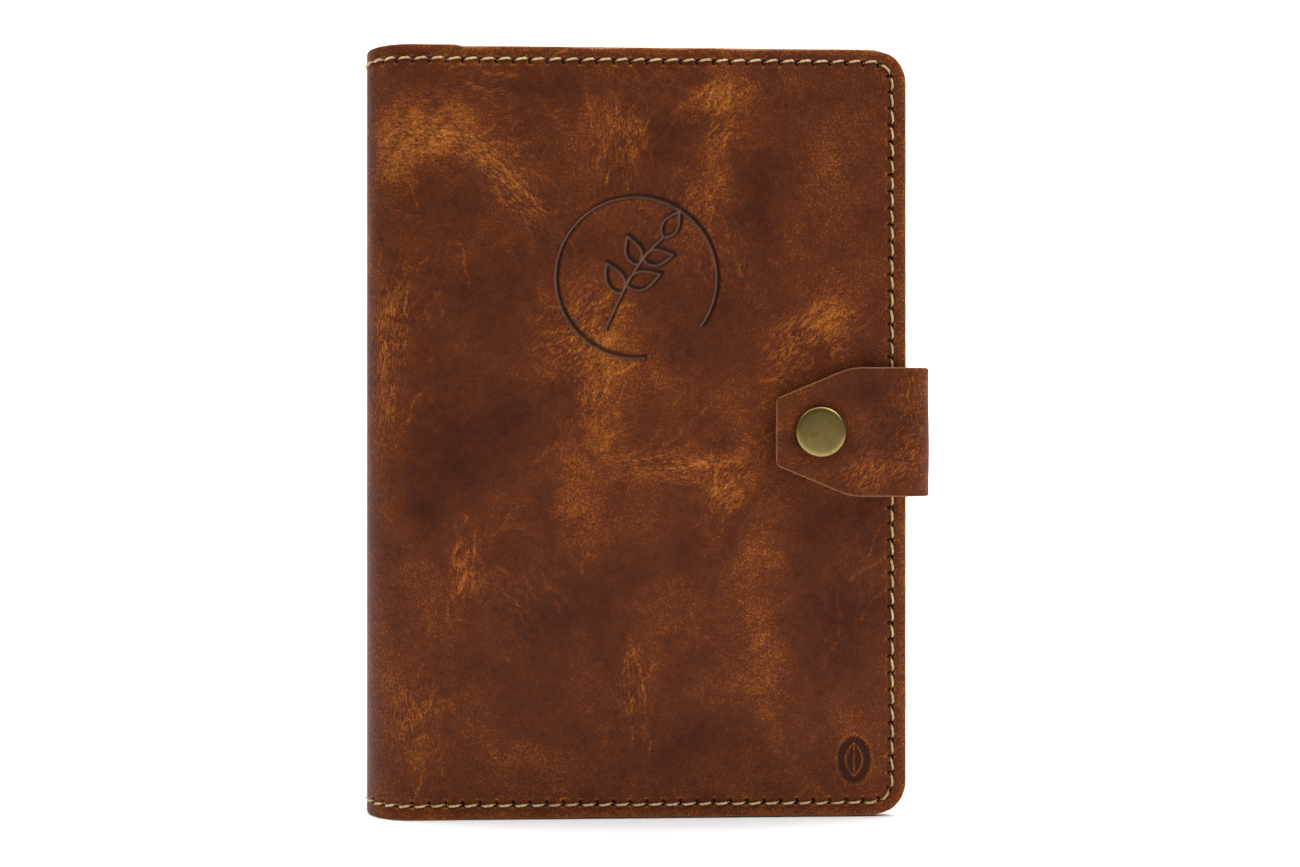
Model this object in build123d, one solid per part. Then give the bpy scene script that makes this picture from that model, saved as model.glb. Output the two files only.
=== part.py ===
"""A5 leather notebook cover with a snap strap, closed round its notebook and standing on its lower edge.

Modelling frame, millimetres: x runs from the spine to the fore-edge, y from the front face (minus) to
the back face (plus) with 0 half-way through the thickness, z up from the lower edge.
The front half is modelled with "depth", the distance from the middle plane towards the front face.
The back half is the same shapes mirrored. finished() moves every piece to the final origin, which is
the middle of the lowest face of the box round the whole object.
"""
from build123d import *
import os
from math import atan2, cos, degrees, pi, radians, sin, sqrt, tan

# ---- driving dimensions -------------------------------------------------------------------------
COVER_HEIGHT = 228.0
COVER_WIDTH = 161.0        # outermost point of the spine to the fore-edge
COVER_THICKNESS = 30.0     # front face to back face
LEATHER = 2.0              # outer leather
CORNER_RADIUS = 10.5       # the two fore-edge corners of each panel

POCKET_LEATHER = 1.4
POCKET_MOUTH = 29.0        # spine to the open edge of a pocket
POCKET_DRAFT = 20.0        # slope of the pocket's raised walls, degrees

STITCH_INSET = 4.2         # cut edge to stitch line
STITCH_PITCH = 4.95
THREAD = 0.8
HOLE_LENGTH = 1.4          # awl slit, along the seam
HOLE_CLEARANCE = 0.05

STRAP_WIDTH = 38.0
STRAP_LEATHER = 2.0
STRAP_REACH = 7.0          # how far the strap stands out past the fore-edge
STRAP_OVERLAP = 39.2       # fore-edge to the strap's tip, on the front
STRAP_TIP_WIDTH = 19.6
STRAP_TIP_SLOPE = 22.0     # length of the clipped corners at the tip
STRAP_TIP_ROUND = 2.0
STRAP_LIFT = 3.2           # front face to the strap's underside, room for the snap
STRAP_BASE = 41.0          # length that lies on the back
BOX_LENGTH = 28.0          # box stitch that holds it there
STRAP_STITCH_INSET = 3.6

SNAP_FROM_EDGE = 26.3      # fore-edge to the snap's centre
CAP_DIAMETER = 15.0
CAP_HEIGHT = 2.0
SOCKET_DIAMETER = 12.0
STUD_DIAMETER = 5.7        # head of the stud
STUD_FLANGE_DIAMETER = 11.0
POST_DIAMETER = 3.5        # cap post through the strap
EYELET_DIAMETER = 2.5      # barrel that holds the stud
EYELET_FLANGE_DIAMETER = 9.0
SPRING_WIRE = 0.5
SPRING_TURN = 330.0        # degrees of wire in the split ring
SOCKET_PLATE = 0.45
STUD_FLANGE = 0.55
EYELET_FLANGE = 0.4
POST_FLARE = 0.3           # rolled end of the cap's post
SNAP_PLAY = 0.15           # between the closed snap's two halves

BOARD = 2.2                # notebook cover board
BOARD_START = 16.0         # spine to the boards' inner edge
STITCH_TO_BOARD = 3.3      # stitch line to the boards' other edges
NOTEBOOK_CORNER = 5.0
SPINE_STRIP = 1.5
PAGE_MARGIN = 2.5          # board edge to page edge
SIGNATURES = 10
ENDPAPER = 0.2
HEADBAND = 1.2

RING_RADIUS = 23.8         # pressed ring on the front
RING_CENTRE = (81.0, 159.7)
RING_OPENING = -60.0       # where the ring is open, degrees up from the fore-edge side
STAMP_CENTRE = (145.4, 16.8)
STAMP_SIZE = (10.0, 14.0)
PRESSED_LINE = 1.0
PRESSED_DEPTH = 0.4

FIT = 0.2                  # board in its pocket, sheet on a board
GAP = 0.3                  # between neighbours that move apart
FOLD_GAP = 0.5             # fold axes stand this far outside the leather
PAPER_GAP = 0.05           # between folded signatures

# ---- what follows from them ---------------------------------------------------------------------
OUTER_RADIUS = COVER_THICKNESS / 2
INNER_RADIUS = OUTER_RADIUS - LEATHER
SPINE_CENTRE = (OUTER_RADIUS, 0.0)
FRONT_FOLD, BACK_FOLD = 225.0, 135.0          # where the rounded spine hinges, degrees about its centre
RIM_DEPTH = INNER_RADIUS - POCKET_LEATHER     # free face of a pocket's rim
CAVITY = BOARD + 2 * FIT
POCKET_DEPTH = INNER_RADIUS - CAVITY - POCKET_LEATHER
BOARD_MARGIN = STITCH_INSET + STITCH_TO_BOARD
BOARD_END = COVER_WIDTH - BOARD_MARGIN
PAGE_END = BOARD_END - PAGE_MARGIN
PAGE_BOTTOM = BOARD_MARGIN + PAGE_MARGIN
PAGE_TOP = COVER_HEIGHT - PAGE_BOTTOM
BLOCK_DEPTH = POCKET_DEPTH - GAP - ENDPAPER
STRIP_OUTER = INNER_RADIUS - GAP
STRIP_INNER = STRIP_OUTER - SPINE_STRIP
BLOCK_BACK_RADIUS = STRIP_INNER - 2 * GAP

MIDDLE = COVER_HEIGHT / 2
FLAP_DEPTH = OUTER_RADIUS + STRAP_LIFT
CAP_BASE = FLAP_DEPTH + STRAP_LEATHER
CAP_TOP = CAP_BASE + CAP_HEIGHT
BASE_TOP = OUTER_RADIUS + STRAP_LEATHER
STRAP_BEND = STRAP_REACH - STRAP_LEATHER / 2      # middle line of a bend that starts at the fore-edge
STRAP_LINE = COVER_WIDTH + STRAP_BEND
ROOT_BEND_Y = OUTER_RADIUS + STRAP_LEATHER / 2 - STRAP_BEND
TIP_BEND_Y = STRAP_BEND - FLAP_DEPTH - STRAP_LEATHER / 2
BASE_START = COVER_WIDTH - STRAP_BASE
BOX_HEIGHT = STRAP_WIDTH - 2 * STRAP_STITCH_INSET
BOX_MIDDLE = BASE_START + STRAP_STITCH_INSET + BOX_LENGTH / 2
TIP_X = COVER_WIDTH - STRAP_OVERLAP
SNAP_X = COVER_WIDTH - SNAP_FROM_EDGE

GROOVE = OUTER_RADIUS - THREAD                    # stitches lie flush in a groove
ARC_STITCHES = round(pi / 4 * OUTER_RADIUS / STITCH_PITCH - 0.5) + 0.5    # never a hole on a fold
ARC_STEP = 45.0 / ARC_STITCHES
SHIFT = (-(COVER_WIDTH + STRAP_REACH) / 2, (CAP_TOP - BASE_TOP) / 2, 0.0)


# ---- shapes used again and again ----------------------------------------------------------------
def outline(left, inset):
    """Flat panel from x = left to the fore-edge, drawn in by inset, with its two rounded corners."""
    right = COVER_WIDTH - inset
    height = COVER_HEIGHT - 2 * inset
    sheet = Pos((left + right) / 2, MIDDLE) * Rectangle(right - left, height)
    corners = sheet.vertices().group_by(Axis.X)[-1]
    return fillet(corners, CORNER_RADIUS - inset)


def slab(sketch, near, far):
    """A flat sketch given thickness between two depths."""
    return extrude(Plane.XZ.offset(near) * sketch, far - near)


def block(x0, x1, z0, z1, near, far):
    """A plain box between two depths."""
    return slab(Pos((x0 + x1) / 2, (z0 + z1) / 2) * Rectangle(x1 - x0, z1 - z0), near, far)


def bent(centre, inner, outer, start, end, bottom, top):
    """Wall of an upright tube, from start to end degrees about its centre."""
    inside = CenterArc(centre, inner, start, end - start)
    outside = CenterArc(centre, outer, start, end - start)
    face = make_face([inside, outside, Line(inside @ 0, outside @ 0), Line(inside @ 1, outside @ 1)])
    return Pos(0, 0, bottom) * extrude(face, top - bottom)


def spokes(angles, length, outer):
    """A pin or slit at each angle round the spine, at both ends, from inside the leather outwards."""
    inner = INNER_RADIUS - THREAD
    bar = Box(outer - inner, length, THREAD)
    places = [Rot(0, 0, angle) * Pos((inner + outer) / 2, 0, z) for angle in angles for z in SEAM_ENDS]
    return [Pos(*SPINE_CENTRE) * place * bar for place in places]


def turned(points):
    """A profile of (radius, depth) points turned about the snap's axis."""
    axle = Plane(origin=(SNAP_X, 0, MIDDLE), x_dir=(1, 0, 0), z_dir=(0, -1, 0))
    profile = make_face(Polyline(*[(r, 0, d) for r, d in points], close=True))
    return axle * revolve(profile, Axis.Z)


def disc(radius, near, far):
    """A plain disc on the snap's axis, between two depths."""
    return slab(Pos(SNAP_X, MIDDLE) * Circle(radius), near, far)


def back(shape):
    """The same shape on the back half."""
    return mirror(shape, about=Plane.XZ)


def joined(pieces):
    """One shape from many that touch or cross."""
    return pieces[0].fuse(*pieces[1:])


# ---- seams --------------------------------------------------------------------------------------
def seam_line():
    """Stitch line of one panel: along the bottom, up the fore-edge and back along the top."""
    low, high = STITCH_INSET, COVER_HEIGHT - STITCH_INSET
    right = COVER_WIDTH - STITCH_INSET
    radius = CORNER_RADIUS - STITCH_INSET
    corners = [(OUTER_RADIUS, low), (right, low), (right, high), (OUTER_RADIUS, high)]
    return FilletPolyline(*corners, radius=radius)


def along(path, share):
    """Place on a flat path, with its x axis along the path."""
    spot, heading = path @ share, path % share
    return Pos(spot.X, spot.Y) * Rot(0, 0, degrees(atan2(heading.Y, heading.X)))


SEAM = seam_line()
SEAM_STITCHES = round(SEAM.length / STITCH_PITCH)
SEAM_HOLES = [along(SEAM, i / SEAM_STITCHES) for i in range(SEAM_STITCHES + 1)]
STEP_X = max(hole.position.X for hole in SEAM_HOLES if hole.position.X < POCKET_MOUTH - THREAD / 2)
ARC_HOLES = [FRONT_FOLD + ARC_STEP * (i + 0.5) for i in range(int(ARC_STITCHES))]
SPINE_HOLES = [BACK_FOLD + ARC_STEP * (i + 0.5) for i in range(int(2 * ARC_STITCHES))]
SEAM_ENDS = (STITCH_INSET, COVER_HEIGHT - STITCH_INSET)


def pins(holes, length, width, near, far):
    """A pin or slit at each hole of a flat seam, its length along the seam."""
    return [slab(hole * Rectangle(length, width), near, far) for hole in holes]


def seam_band(width):
    """The strip that the stitches of one panel cover."""
    return outline(OUTER_RADIUS, STITCH_INSET - width / 2) - outline(OUTER_RADIUS, STITCH_INSET + width / 2)


def arc_band(inner, outer, start, end, width):
    """The strip that the stitches cover round the spine, at both ends."""
    return [bent(SPINE_CENTRE, inner, outer, start, end, z - width / 2, z + width / 2) for z in SEAM_ENDS]


def panel_thread():
    """Saddle-stitched thread of one panel: outer bars, inner bars and the turns through the holes."""
    band = seam_band(THREAD)
    left = Pos((OUTER_RADIUS + STEP_X) / 2, MIDDLE) * Rectangle(STEP_X - OUTER_RADIUS, COVER_HEIGHT)
    pieces = [slab(band, GROOVE, OUTER_RADIUS)]
    pieces += [slab(band & left, INNER_RADIUS - THREAD, INNER_RADIUS)]
    pieces += [slab(band - left, RIM_DEPTH - THREAD, RIM_DEPTH)]
    for hole in SEAM_HOLES:
        through_pocket = hole.position.X > STEP_X - THREAD
        near = (RIM_DEPTH if through_pocket else INNER_RADIUS) - THREAD
        pieces += pins([hole], THREAD, THREAD, near, OUTER_RADIUS)
    pieces += arc_band(GROOVE, OUTER_RADIUS, FRONT_FOLD, 270, THREAD)
    pieces += arc_band(INNER_RADIUS - THREAD, INNER_RADIUS, FRONT_FOLD, 270, THREAD)
    pieces += spokes(ARC_HOLES, THREAD, OUTER_RADIUS)
    return joined(pieces)


def spine_thread():
    """Thread round the spine, one length at each end."""
    bars = arc_band(GROOVE, OUTER_RADIUS, BACK_FOLD, FRONT_FOLD, THREAD)
    bars += arc_band(INNER_RADIUS - THREAD, INNER_RADIUS, BACK_FOLD, FRONT_FOLD, THREAD)
    return joined(bars + spokes(SPINE_HOLES, THREAD, OUTER_RADIUS))


def strap_holes():
    """Hole places of the base's box stitch, evenly spaced along each side."""
    columns = round(BOX_LENGTH / STITCH_PITCH)
    rows = round(BOX_HEIGHT / STITCH_PITCH)
    places = []
    for i in range(columns):
        x = BOX_LENGTH * (i / columns - 0.5)
        places += [(x, -BOX_HEIGHT / 2), (-x, BOX_HEIGHT / 2)]
    for i in range(rows):
        z = BOX_HEIGHT * (i / rows - 0.5)
        places += [(BOX_LENGTH / 2, z), (-BOX_LENGTH / 2, -z)]
    return [Pos(BOX_MIDDLE + x, MIDDLE + z) for x, z in places]


def strap_band(width):
    """The strip that the base's stitches cover."""
    outer = Rectangle(BOX_LENGTH + width, BOX_HEIGHT + width)
    inner = Rectangle(BOX_LENGTH - width, BOX_HEIGHT - width)
    return Pos(BOX_MIDDLE, MIDDLE) * (outer - inner)


# ---- cover leather ------------------------------------------------------------------------------
def panel_leather():
    """Front panel: its flat, an eighth turn of the spine, the stitch holes and their groove."""
    leather = slab(outline(OUTER_RADIUS, 0), INNER_RADIUS, OUTER_RADIUS)
    leather += bent(SPINE_CENTRE, INNER_RADIUS, OUTER_RADIUS, FRONT_FOLD, 270, 0, COVER_HEIGHT)
    wide = THREAD + 2 * HOLE_CLEARANCE
    cuts = [slab(seam_band(wide), GROOVE, OUTER_RADIUS)]
    cuts += arc_band(GROOVE, OUTER_RADIUS + THREAD, FRONT_FOLD, 270, wide)
    cuts += pins(SEAM_HOLES, HOLE_LENGTH, wide, INNER_RADIUS - THREAD, OUTER_RADIUS)
    cuts += spokes(ARC_HOLES, HOLE_LENGTH, OUTER_RADIUS)
    return leather.cut(*cuts)


def pressed_marks():
    """Open ring and plain oval pressed into the front."""
    half = PRESSED_LINE / 2
    ring = Circle(RING_RADIUS + half) - Circle(RING_RADIUS - half)
    opening = Rot(0, 0, RING_OPENING) * Pos(RING_RADIUS, 0) * Rectangle(RING_RADIUS, RING_RADIUS)
    width, height = STAMP_SIZE
    oval = Ellipse(width / 2, height / 2) - Ellipse(width / 2 - half, height / 2 - half)
    near = OUTER_RADIUS - PRESSED_DEPTH
    return [slab(Pos(*RING_CENTRE) * (ring - opening), near, OUTER_RADIUS),
            slab(Pos(*STAMP_CENTRE) * oval, near, OUTER_RADIUS)]


def front_cover_leather():
    """Front panel: also holed for the stud's eyelet, sunk for its flange, and pressed."""
    eyelet_hole = disc(EYELET_DIAMETER / 2 + FIT, INNER_RADIUS, OUTER_RADIUS)
    seat = disc(EYELET_FLANGE_DIAMETER / 2 + FIT, INNER_RADIUS, EYELET_SEAT)
    return panel_leather().cut(eyelet_hole, seat, *pressed_marks())


def back_cover_leather():
    """Back panel: also holed and grooved for the strap's box stitch."""
    wide = THREAD + 2 * HOLE_CLEARANCE
    cuts = [slab(strap_band(wide), INNER_RADIUS, INNER_RADIUS + THREAD)]
    cuts += pins(strap_holes(), wide, wide, INNER_RADIUS, OUTER_RADIUS)
    return back(panel_leather().cut(*cuts))


def spine_leather():
    leather = bent(SPINE_CENTRE, INNER_RADIUS, OUTER_RADIUS, BACK_FOLD, FRONT_FOLD, 0, COVER_HEIGHT)
    cuts = arc_band(GROOVE, OUTER_RADIUS + THREAD, BACK_FOLD, FRONT_FOLD, THREAD + 2 * HOLE_CLEARANCE)
    cuts += spokes(SPINE_HOLES, HOLE_LENGTH, OUTER_RADIUS)
    return leather.cut(*cuts)


# ---- pockets ------------------------------------------------------------------------------------
def pocket_tray(grow, depth):
    """Raised form of a pocket, sloping in as it stands further off the cover leather."""
    wall = tan(radians(POCKET_DRAFT))
    margin = BOARD_MARGIN - FIT - (CAVITY - FIT) * wall - grow
    left, right = POCKET_MOUTH - BOARD_START, COVER_WIDTH - margin
    sketch = RectangleRounded(right - left, COVER_HEIGHT - 2 * margin, NOTEBOOK_CORNER)
    base = Plane.XZ.offset(INNER_RADIUS) * Pos((left + right) / 2, MIDDLE) * sketch
    return extrude(base, -depth, taper=POCKET_DRAFT)


def pocket_leather():
    """Pocket sheet: sewn rim on the cover leather, raised tray over the board, open towards the spine."""
    rim = slab(outline(POCKET_MOUTH, 0), RIM_DEPTH, INNER_RADIUS)
    skin = POCKET_LEATHER / cos(radians(POCKET_DRAFT))
    sheet = rim + pocket_tray(skin, CAVITY + POCKET_LEATHER) - pocket_tray(0, CAVITY)
    kept = block(POCKET_MOUTH, COVER_WIDTH, 0, COVER_HEIGHT, 0, INNER_RADIUS)
    wide = THREAD + 2 * HOLE_CLEARANCE
    holes = pins(SEAM_HOLES, HOLE_LENGTH, wide, RIM_DEPTH - THREAD, INNER_RADIUS)
    return (sheet & kept).cut(*holes)


# ---- strap --------------------------------------------------------------------------------------
def strap_bend(middle_y, start, end):
    """Part of one of the strap's two bends."""
    half = STRAP_LEATHER / 2
    low, high = MIDDLE - STRAP_WIDTH / 2, MIDDLE + STRAP_WIDTH / 2
    return bent((COVER_WIDTH, middle_y), STRAP_BEND - half, STRAP_BEND + half, start, end, low, high)


def strap_base():
    """End sewn on the back, with the first half of the bend round the fore-edge."""
    low, high = MIDDLE - STRAP_WIDTH / 2, MIDDLE + STRAP_WIDTH / 2
    wide = THREAD + 2 * HOLE_CLEARANCE
    flat = block(BASE_START, COVER_WIDTH, low, high, OUTER_RADIUS, BASE_TOP)
    flat = flat.cut(slab(strap_band(wide), BASE_TOP - THREAD, BASE_TOP),
                    *pins(strap_holes(), wide, wide, OUTER_RADIUS, BASE_TOP))
    return back(flat) + strap_bend(ROOT_BEND_Y, 45, 90)


def strap_side():
    """Middle of the strap, past the fore-edge."""
    low, high = MIDDLE - STRAP_WIDTH / 2, MIDDLE + STRAP_WIDTH / 2
    half = STRAP_LEATHER / 2
    run = block(STRAP_LINE - half, STRAP_LINE + half, low, high, -ROOT_BEND_Y, -TIP_BEND_Y)
    return run + strap_bend(ROOT_BEND_Y, 0, 45) + strap_bend(TIP_BEND_Y, -45, 0)


def strap_flap():
    """End that closes over the front, with clipped corners and the snap's hole."""
    half, tip = STRAP_WIDTH / 2, STRAP_TIP_WIDTH / 2
    corner = TIP_X + STRAP_TIP_SLOPE
    upper = [(COVER_WIDTH, half), (corner, half), (TIP_X, tip)]
    lower = [(x, -z) for x, z in reversed(upper)]
    sheet = Pos(0, MIDDLE) * make_face(Polyline(*upper, *lower, close=True))
    clipped = [v for v in sheet.vertices() if v.X < (corner + COVER_WIDTH) / 2]
    flat = slab(fillet(clipped, STRAP_TIP_ROUND), FLAP_DEPTH, CAP_BASE)
    flat -= disc(POST_DIAMETER / 2 + HOLE_CLEARANCE, FLAP_DEPTH, CAP_BASE)
    return flat + strap_bend(TIP_BEND_Y, -90, -45)


def strap_base_thread():
    pieces = [slab(strap_band(THREAD), BASE_TOP - THREAD, BASE_TOP)]
    pieces += [slab(strap_band(THREAD), INNER_RADIUS, INNER_RADIUS + THREAD)]
    pieces += pins(strap_holes(), THREAD, THREAD, INNER_RADIUS, BASE_TOP)
    return back(joined(pieces))


# ---- snap fastener, depths along its axis -------------------------------------------------------
SOCKET_TOP = FLAP_DEPTH - SOCKET_PLATE        # inside of the socket's plate
SOCKET_LOW = OUTER_RADIUS + STUD_FLANGE + SNAP_PLAY
STUD_TOP = SOCKET_TOP - POST_FLARE - SNAP_PLAY
STUD_HEAD_LOW = STUD_TOP - 0.8
SPRING_DEPTH = STUD_HEAD_LOW - SPRING_WIRE / 2 - 0.1
SPRING_RADIUS = STUD_DIAMETER / 2 + 0.1
EYELET_SEAT = INNER_RADIUS + EYELET_FLANGE + HOLE_CLEARANCE


def snap_cap():
    """Domed cap with a rolled rim, and the post that goes through the strap into the socket."""
    rim, post = CAP_DIAMETER / 2, POST_DIAMETER / 2
    flare = post + 0.6
    roll = CAP_BASE + CAP_HEIGHT * 0.55
    low = SOCKET_TOP - POST_FLARE
    stem = [(0, low), (flare, low), (flare, SOCKET_TOP), (post, SOCKET_TOP)]
    edge = [(post, CAP_BASE), (rim - 0.5, CAP_BASE), (rim, CAP_BASE + 0.45), (rim - 0.2, roll)]
    dome = [(rim - 0.9, roll + 0.25), (rim - 1.6, roll), (rim * 0.5, CAP_TOP - 0.2), (0, CAP_TOP)]
    return turned(stem + edge + dome)


def snap_socket():
    """Ring under the strap, with a groove for its spring."""
    outer, post = SOCKET_DIAMETER / 2, POST_DIAMETER / 2 + HOLE_CLEARANCE
    bore = SPRING_RADIUS + SPRING_WIRE / 2
    groove = bore + 0.25
    reach = SPRING_WIRE / 2 + HOLE_CLEARANCE
    low, high = SPRING_DEPTH - reach, SPRING_DEPTH + reach
    outside = [(bore, SOCKET_LOW), (outer - 0.4, SOCKET_LOW), (outer, SOCKET_LOW + 0.4), (outer, FLAP_DEPTH)]
    plate = [(post, FLAP_DEPTH), (post, SOCKET_TOP), (bore, SOCKET_TOP)]
    spring_seat = [(bore, high), (groove, high), (groove, low), (bore, low)]
    return turned(outside + plate + spring_seat)


def snap_spring():
    """Split wire ring that grips the stud below its head."""
    axle = Plane(origin=(SNAP_X, -SPRING_DEPTH, MIDDLE), x_dir=(1, 0, 0), z_dir=(0, -1, 0))
    wire = Plane.XZ * Pos(SPRING_RADIUS, 0) * Circle(SPRING_WIRE / 2)
    return axle * revolve(wire, Axis.Z, SPRING_TURN)


def snap_stud():
    """Male half on the front panel, hollow for its eyelet."""
    head, neck, flange = STUD_DIAMETER / 2, STUD_DIAMETER / 2 - 0.55, STUD_FLANGE_DIAMETER / 2
    bore = EYELET_DIAMETER / 2 + HOLE_CLEARANCE
    deep = STUD_TOP - 0.6
    top = OUTER_RADIUS + STUD_FLANGE
    foot = [(bore, OUTER_RADIUS), (flange, OUTER_RADIUS), (flange, top - 0.15), (flange - 0.3, top)]
    waist = [(neck, top), (neck, STUD_HEAD_LOW), (head, STUD_HEAD_LOW + 0.2), (head, STUD_TOP - 0.3)]
    crown = [(head - 0.5, STUD_TOP), (0, STUD_TOP), (0, deep), (bore, deep)]
    return turned(foot + waist + crown)


def stud_eyelet():
    """Flanged barrel from inside the panel up into the stud."""
    barrel, flange = EYELET_DIAMETER / 2, EYELET_FLANGE_DIAMETER / 2
    top = STUD_TOP - 0.6 - HOLE_CLEARANCE
    rim = INNER_RADIUS + EYELET_FLANGE
    plate = [(0, INNER_RADIUS), (flange, INNER_RADIUS), (flange, rim), (barrel, rim)]
    return turned(plate + [(barrel, top), (0, top)])


# ---- the notebook that it holds -----------------------------------------------------------------
def leaf_outline(start, end, margin):
    """Board or leaf with rounded fore-edge corners, margin above the lower edge and below the upper."""
    sheet = Pos((start + end) / 2, MIDDLE) * Rectangle(end - start, COVER_HEIGHT - 2 * margin)
    return fillet(sheet.vertices().group_by(Axis.X)[-1], NOTEBOOK_CORNER)


def notebook_board():
    """Stiff cover board, slid into a pocket."""
    far = INNER_RADIUS - FIT
    return slab(leaf_outline(BOARD_START, BOARD_END, BOARD_MARGIN), far - BOARD, far)


def notebook_spine_strip():
    """Rounded back of the notebook's own case."""
    top = COVER_HEIGHT - BOARD_MARGIN
    return bent(SPINE_CENTRE, STRIP_INNER, STRIP_OUTER, BACK_FOLD, FRONT_FOLD, BOARD_MARGIN, top)


def page_signatures():
    """Folded sections of paper, their folds on the rounded back and their fore-edges in line."""
    pitch = 2 * BLOCK_DEPTH / SIGNATURES
    fold = (pitch - PAPER_GAP) / 2
    sections = []
    for i in range(SIGNATURES):
        y = pitch * (i + 0.5) - BLOCK_DEPTH
        start = SPINE_CENTRE[0] - sqrt(BLOCK_BACK_RADIUS ** 2 - y ** 2) + fold
        leaves = slab(leaf_outline(start, PAGE_END, PAGE_BOTTOM), -y - fold, -y + fold)
        back_fold = Pos(start, y, PAGE_BOTTOM) * extrude(Circle(fold), PAGE_TOP - PAGE_BOTTOM)
        sections.append(leaves + back_fold)
    return Compound(children=sections)


def endpapers():
    """Flyleaf on each side of the paper."""
    start = SPINE_CENTRE[0] - sqrt(BLOCK_BACK_RADIUS ** 2 - BLOCK_DEPTH ** 2) + 2 * GAP
    leaf = slab(leaf_outline(start, PAGE_END, PAGE_BOTTOM), BLOCK_DEPTH, BLOCK_DEPTH + ENDPAPER)
    return Compound(children=[leaf, back(leaf)])


def headbands():
    """Cloth band over the folds at the head and at the tail."""
    reach = 40.0
    inner = BLOCK_BACK_RADIUS - HEADBAND - GAP
    outer = BLOCK_BACK_RADIUS - GAP
    starts = (PAGE_BOTTOM - HEADBAND, PAGE_TOP)
    bands = [bent(SPINE_CENTRE, inner, outer, 180 - reach, 180 + reach, z, z + HEADBAND) for z in starts]
    return Compound(children=bands)


# ---- files --------------------------------------------------------------------------------------
NODES = {
    "front_cover_leather": front_cover_leather,
    "spine_leather": spine_leather,
    "back_cover_leather": back_cover_leather,
    "front_pocket_leather": pocket_leather,
    "back_pocket_leather": lambda: back(pocket_leather()),
    "front_seam_thread": panel_thread,
    "spine_seam_thread": spine_thread,
    "back_seam_thread": lambda: back(panel_thread()),
    "strap_base": strap_base,
    "strap_side": strap_side,
    "strap_flap": strap_flap,
    "strap_base_thread": strap_base_thread,
    "snap_cap": snap_cap,
    "snap_socket": snap_socket,
    "snap_spring": snap_spring,
    "snap_stud": snap_stud,
    "stud_eyelet": stud_eyelet,
    "notebook_front_board": notebook_board,
    "notebook_back_board": lambda: back(notebook_board()),
    "notebook_spine_strip": notebook_spine_strip,
    "page_signatures": page_signatures,
    "endpapers": endpapers,
    "headbands": headbands,
}


def finished(shape):
    """A piece in the object's final frame."""
    return Compound(children=[Pos(*SHIFT) * solid for solid in shape.solids()])


def fold_axis(centre, radius, angle):
    """Where a fold turns: just outside the leather, on the middle line of the bend."""
    reach = radius + FOLD_GAP
    x = centre[0] + reach * cos(radians(angle)) + SHIFT[0]
    y = centre[1] + reach * sin(radians(angle)) + SHIFT[1]
    return round(x, 4), round(y, 4), 0.0


os.makedirs("parts", exist_ok=True)
for name, make in NODES.items():
    export_step(finished(make()), f"parts/{name}.step")

strap_outer = STRAP_BEND + STRAP_LEATHER / 2
print("front fold axis at", fold_axis(SPINE_CENTRE, OUTER_RADIUS, FRONT_FOLD))
print("back fold axis at", fold_axis(SPINE_CENTRE, OUTER_RADIUS, BACK_FOLD))
print("strap root bend axis at", fold_axis((COVER_WIDTH, ROOT_BEND_Y), strap_outer, 45))
print("strap tip bend axis at", fold_axis((COVER_WIDTH, TIP_BEND_Y), strap_outer, -45))
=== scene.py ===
import math

import bpy
import numpy as np
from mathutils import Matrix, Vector


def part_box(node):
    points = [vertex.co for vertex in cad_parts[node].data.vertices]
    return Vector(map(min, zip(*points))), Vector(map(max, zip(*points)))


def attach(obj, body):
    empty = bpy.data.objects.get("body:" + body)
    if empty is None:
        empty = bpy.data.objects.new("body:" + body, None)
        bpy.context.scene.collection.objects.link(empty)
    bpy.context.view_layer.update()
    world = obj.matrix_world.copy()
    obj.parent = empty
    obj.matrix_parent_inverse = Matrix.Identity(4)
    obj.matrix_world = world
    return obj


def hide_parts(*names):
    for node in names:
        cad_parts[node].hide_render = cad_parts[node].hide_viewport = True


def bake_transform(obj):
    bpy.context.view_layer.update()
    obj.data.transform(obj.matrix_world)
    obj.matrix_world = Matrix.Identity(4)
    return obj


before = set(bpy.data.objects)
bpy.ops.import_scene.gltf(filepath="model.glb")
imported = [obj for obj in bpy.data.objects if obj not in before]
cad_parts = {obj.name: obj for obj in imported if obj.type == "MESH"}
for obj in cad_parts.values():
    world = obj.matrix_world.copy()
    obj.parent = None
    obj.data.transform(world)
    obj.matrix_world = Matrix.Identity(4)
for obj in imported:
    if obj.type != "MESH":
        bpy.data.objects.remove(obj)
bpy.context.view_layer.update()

# Looks of the leather notebook cover. The frame is in metres. Sizes and places below are in millimetres of
# the same frame; make_mesh() and bend() turn them into metres.
MM = 0.001
UP, ACROSS, DEEP = 2, 0, 1


def ends(node, axis):
    """Lowest and highest coordinate of a CAD node along an axis, in millimetres."""
    return [corner[axis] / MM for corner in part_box(node)]


def low(node, axis):
    """The lower end alone."""
    return ends(node, axis)[0]


def high(node, axis):
    """The upper end alone."""
    return ends(node, axis)[1]


# ---- sizes, from the frame ----
SPINE_X = low("spine_leather", ACROSS)
FORE_X = high("front_cover_leather", ACROSS)
FRONT_Y = low("front_cover_leather", DEEP)
BACK_Y = high("back_cover_leather", DEEP)
HEIGHT = high("front_cover_leather", UP)
MOUTH_X = low("front_pocket_leather", ACROSS)
LEATHER = low("front_pocket_leather", DEEP) - FRONT_Y
TRAY = high("front_pocket_leather", DEEP) - FRONT_Y  # front face to the raised face of the pocket
RADIUS = (BACK_Y - FRONT_Y) / 2
MID_Y = (BACK_Y + FRONT_Y) / 2
FLAT_X = SPINE_X + RADIUS
ARC = RADIUS * math.pi / 2
PANEL = ARC + FORE_X - FLAT_X  # mid-spine to fore-edge along the leather

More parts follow.
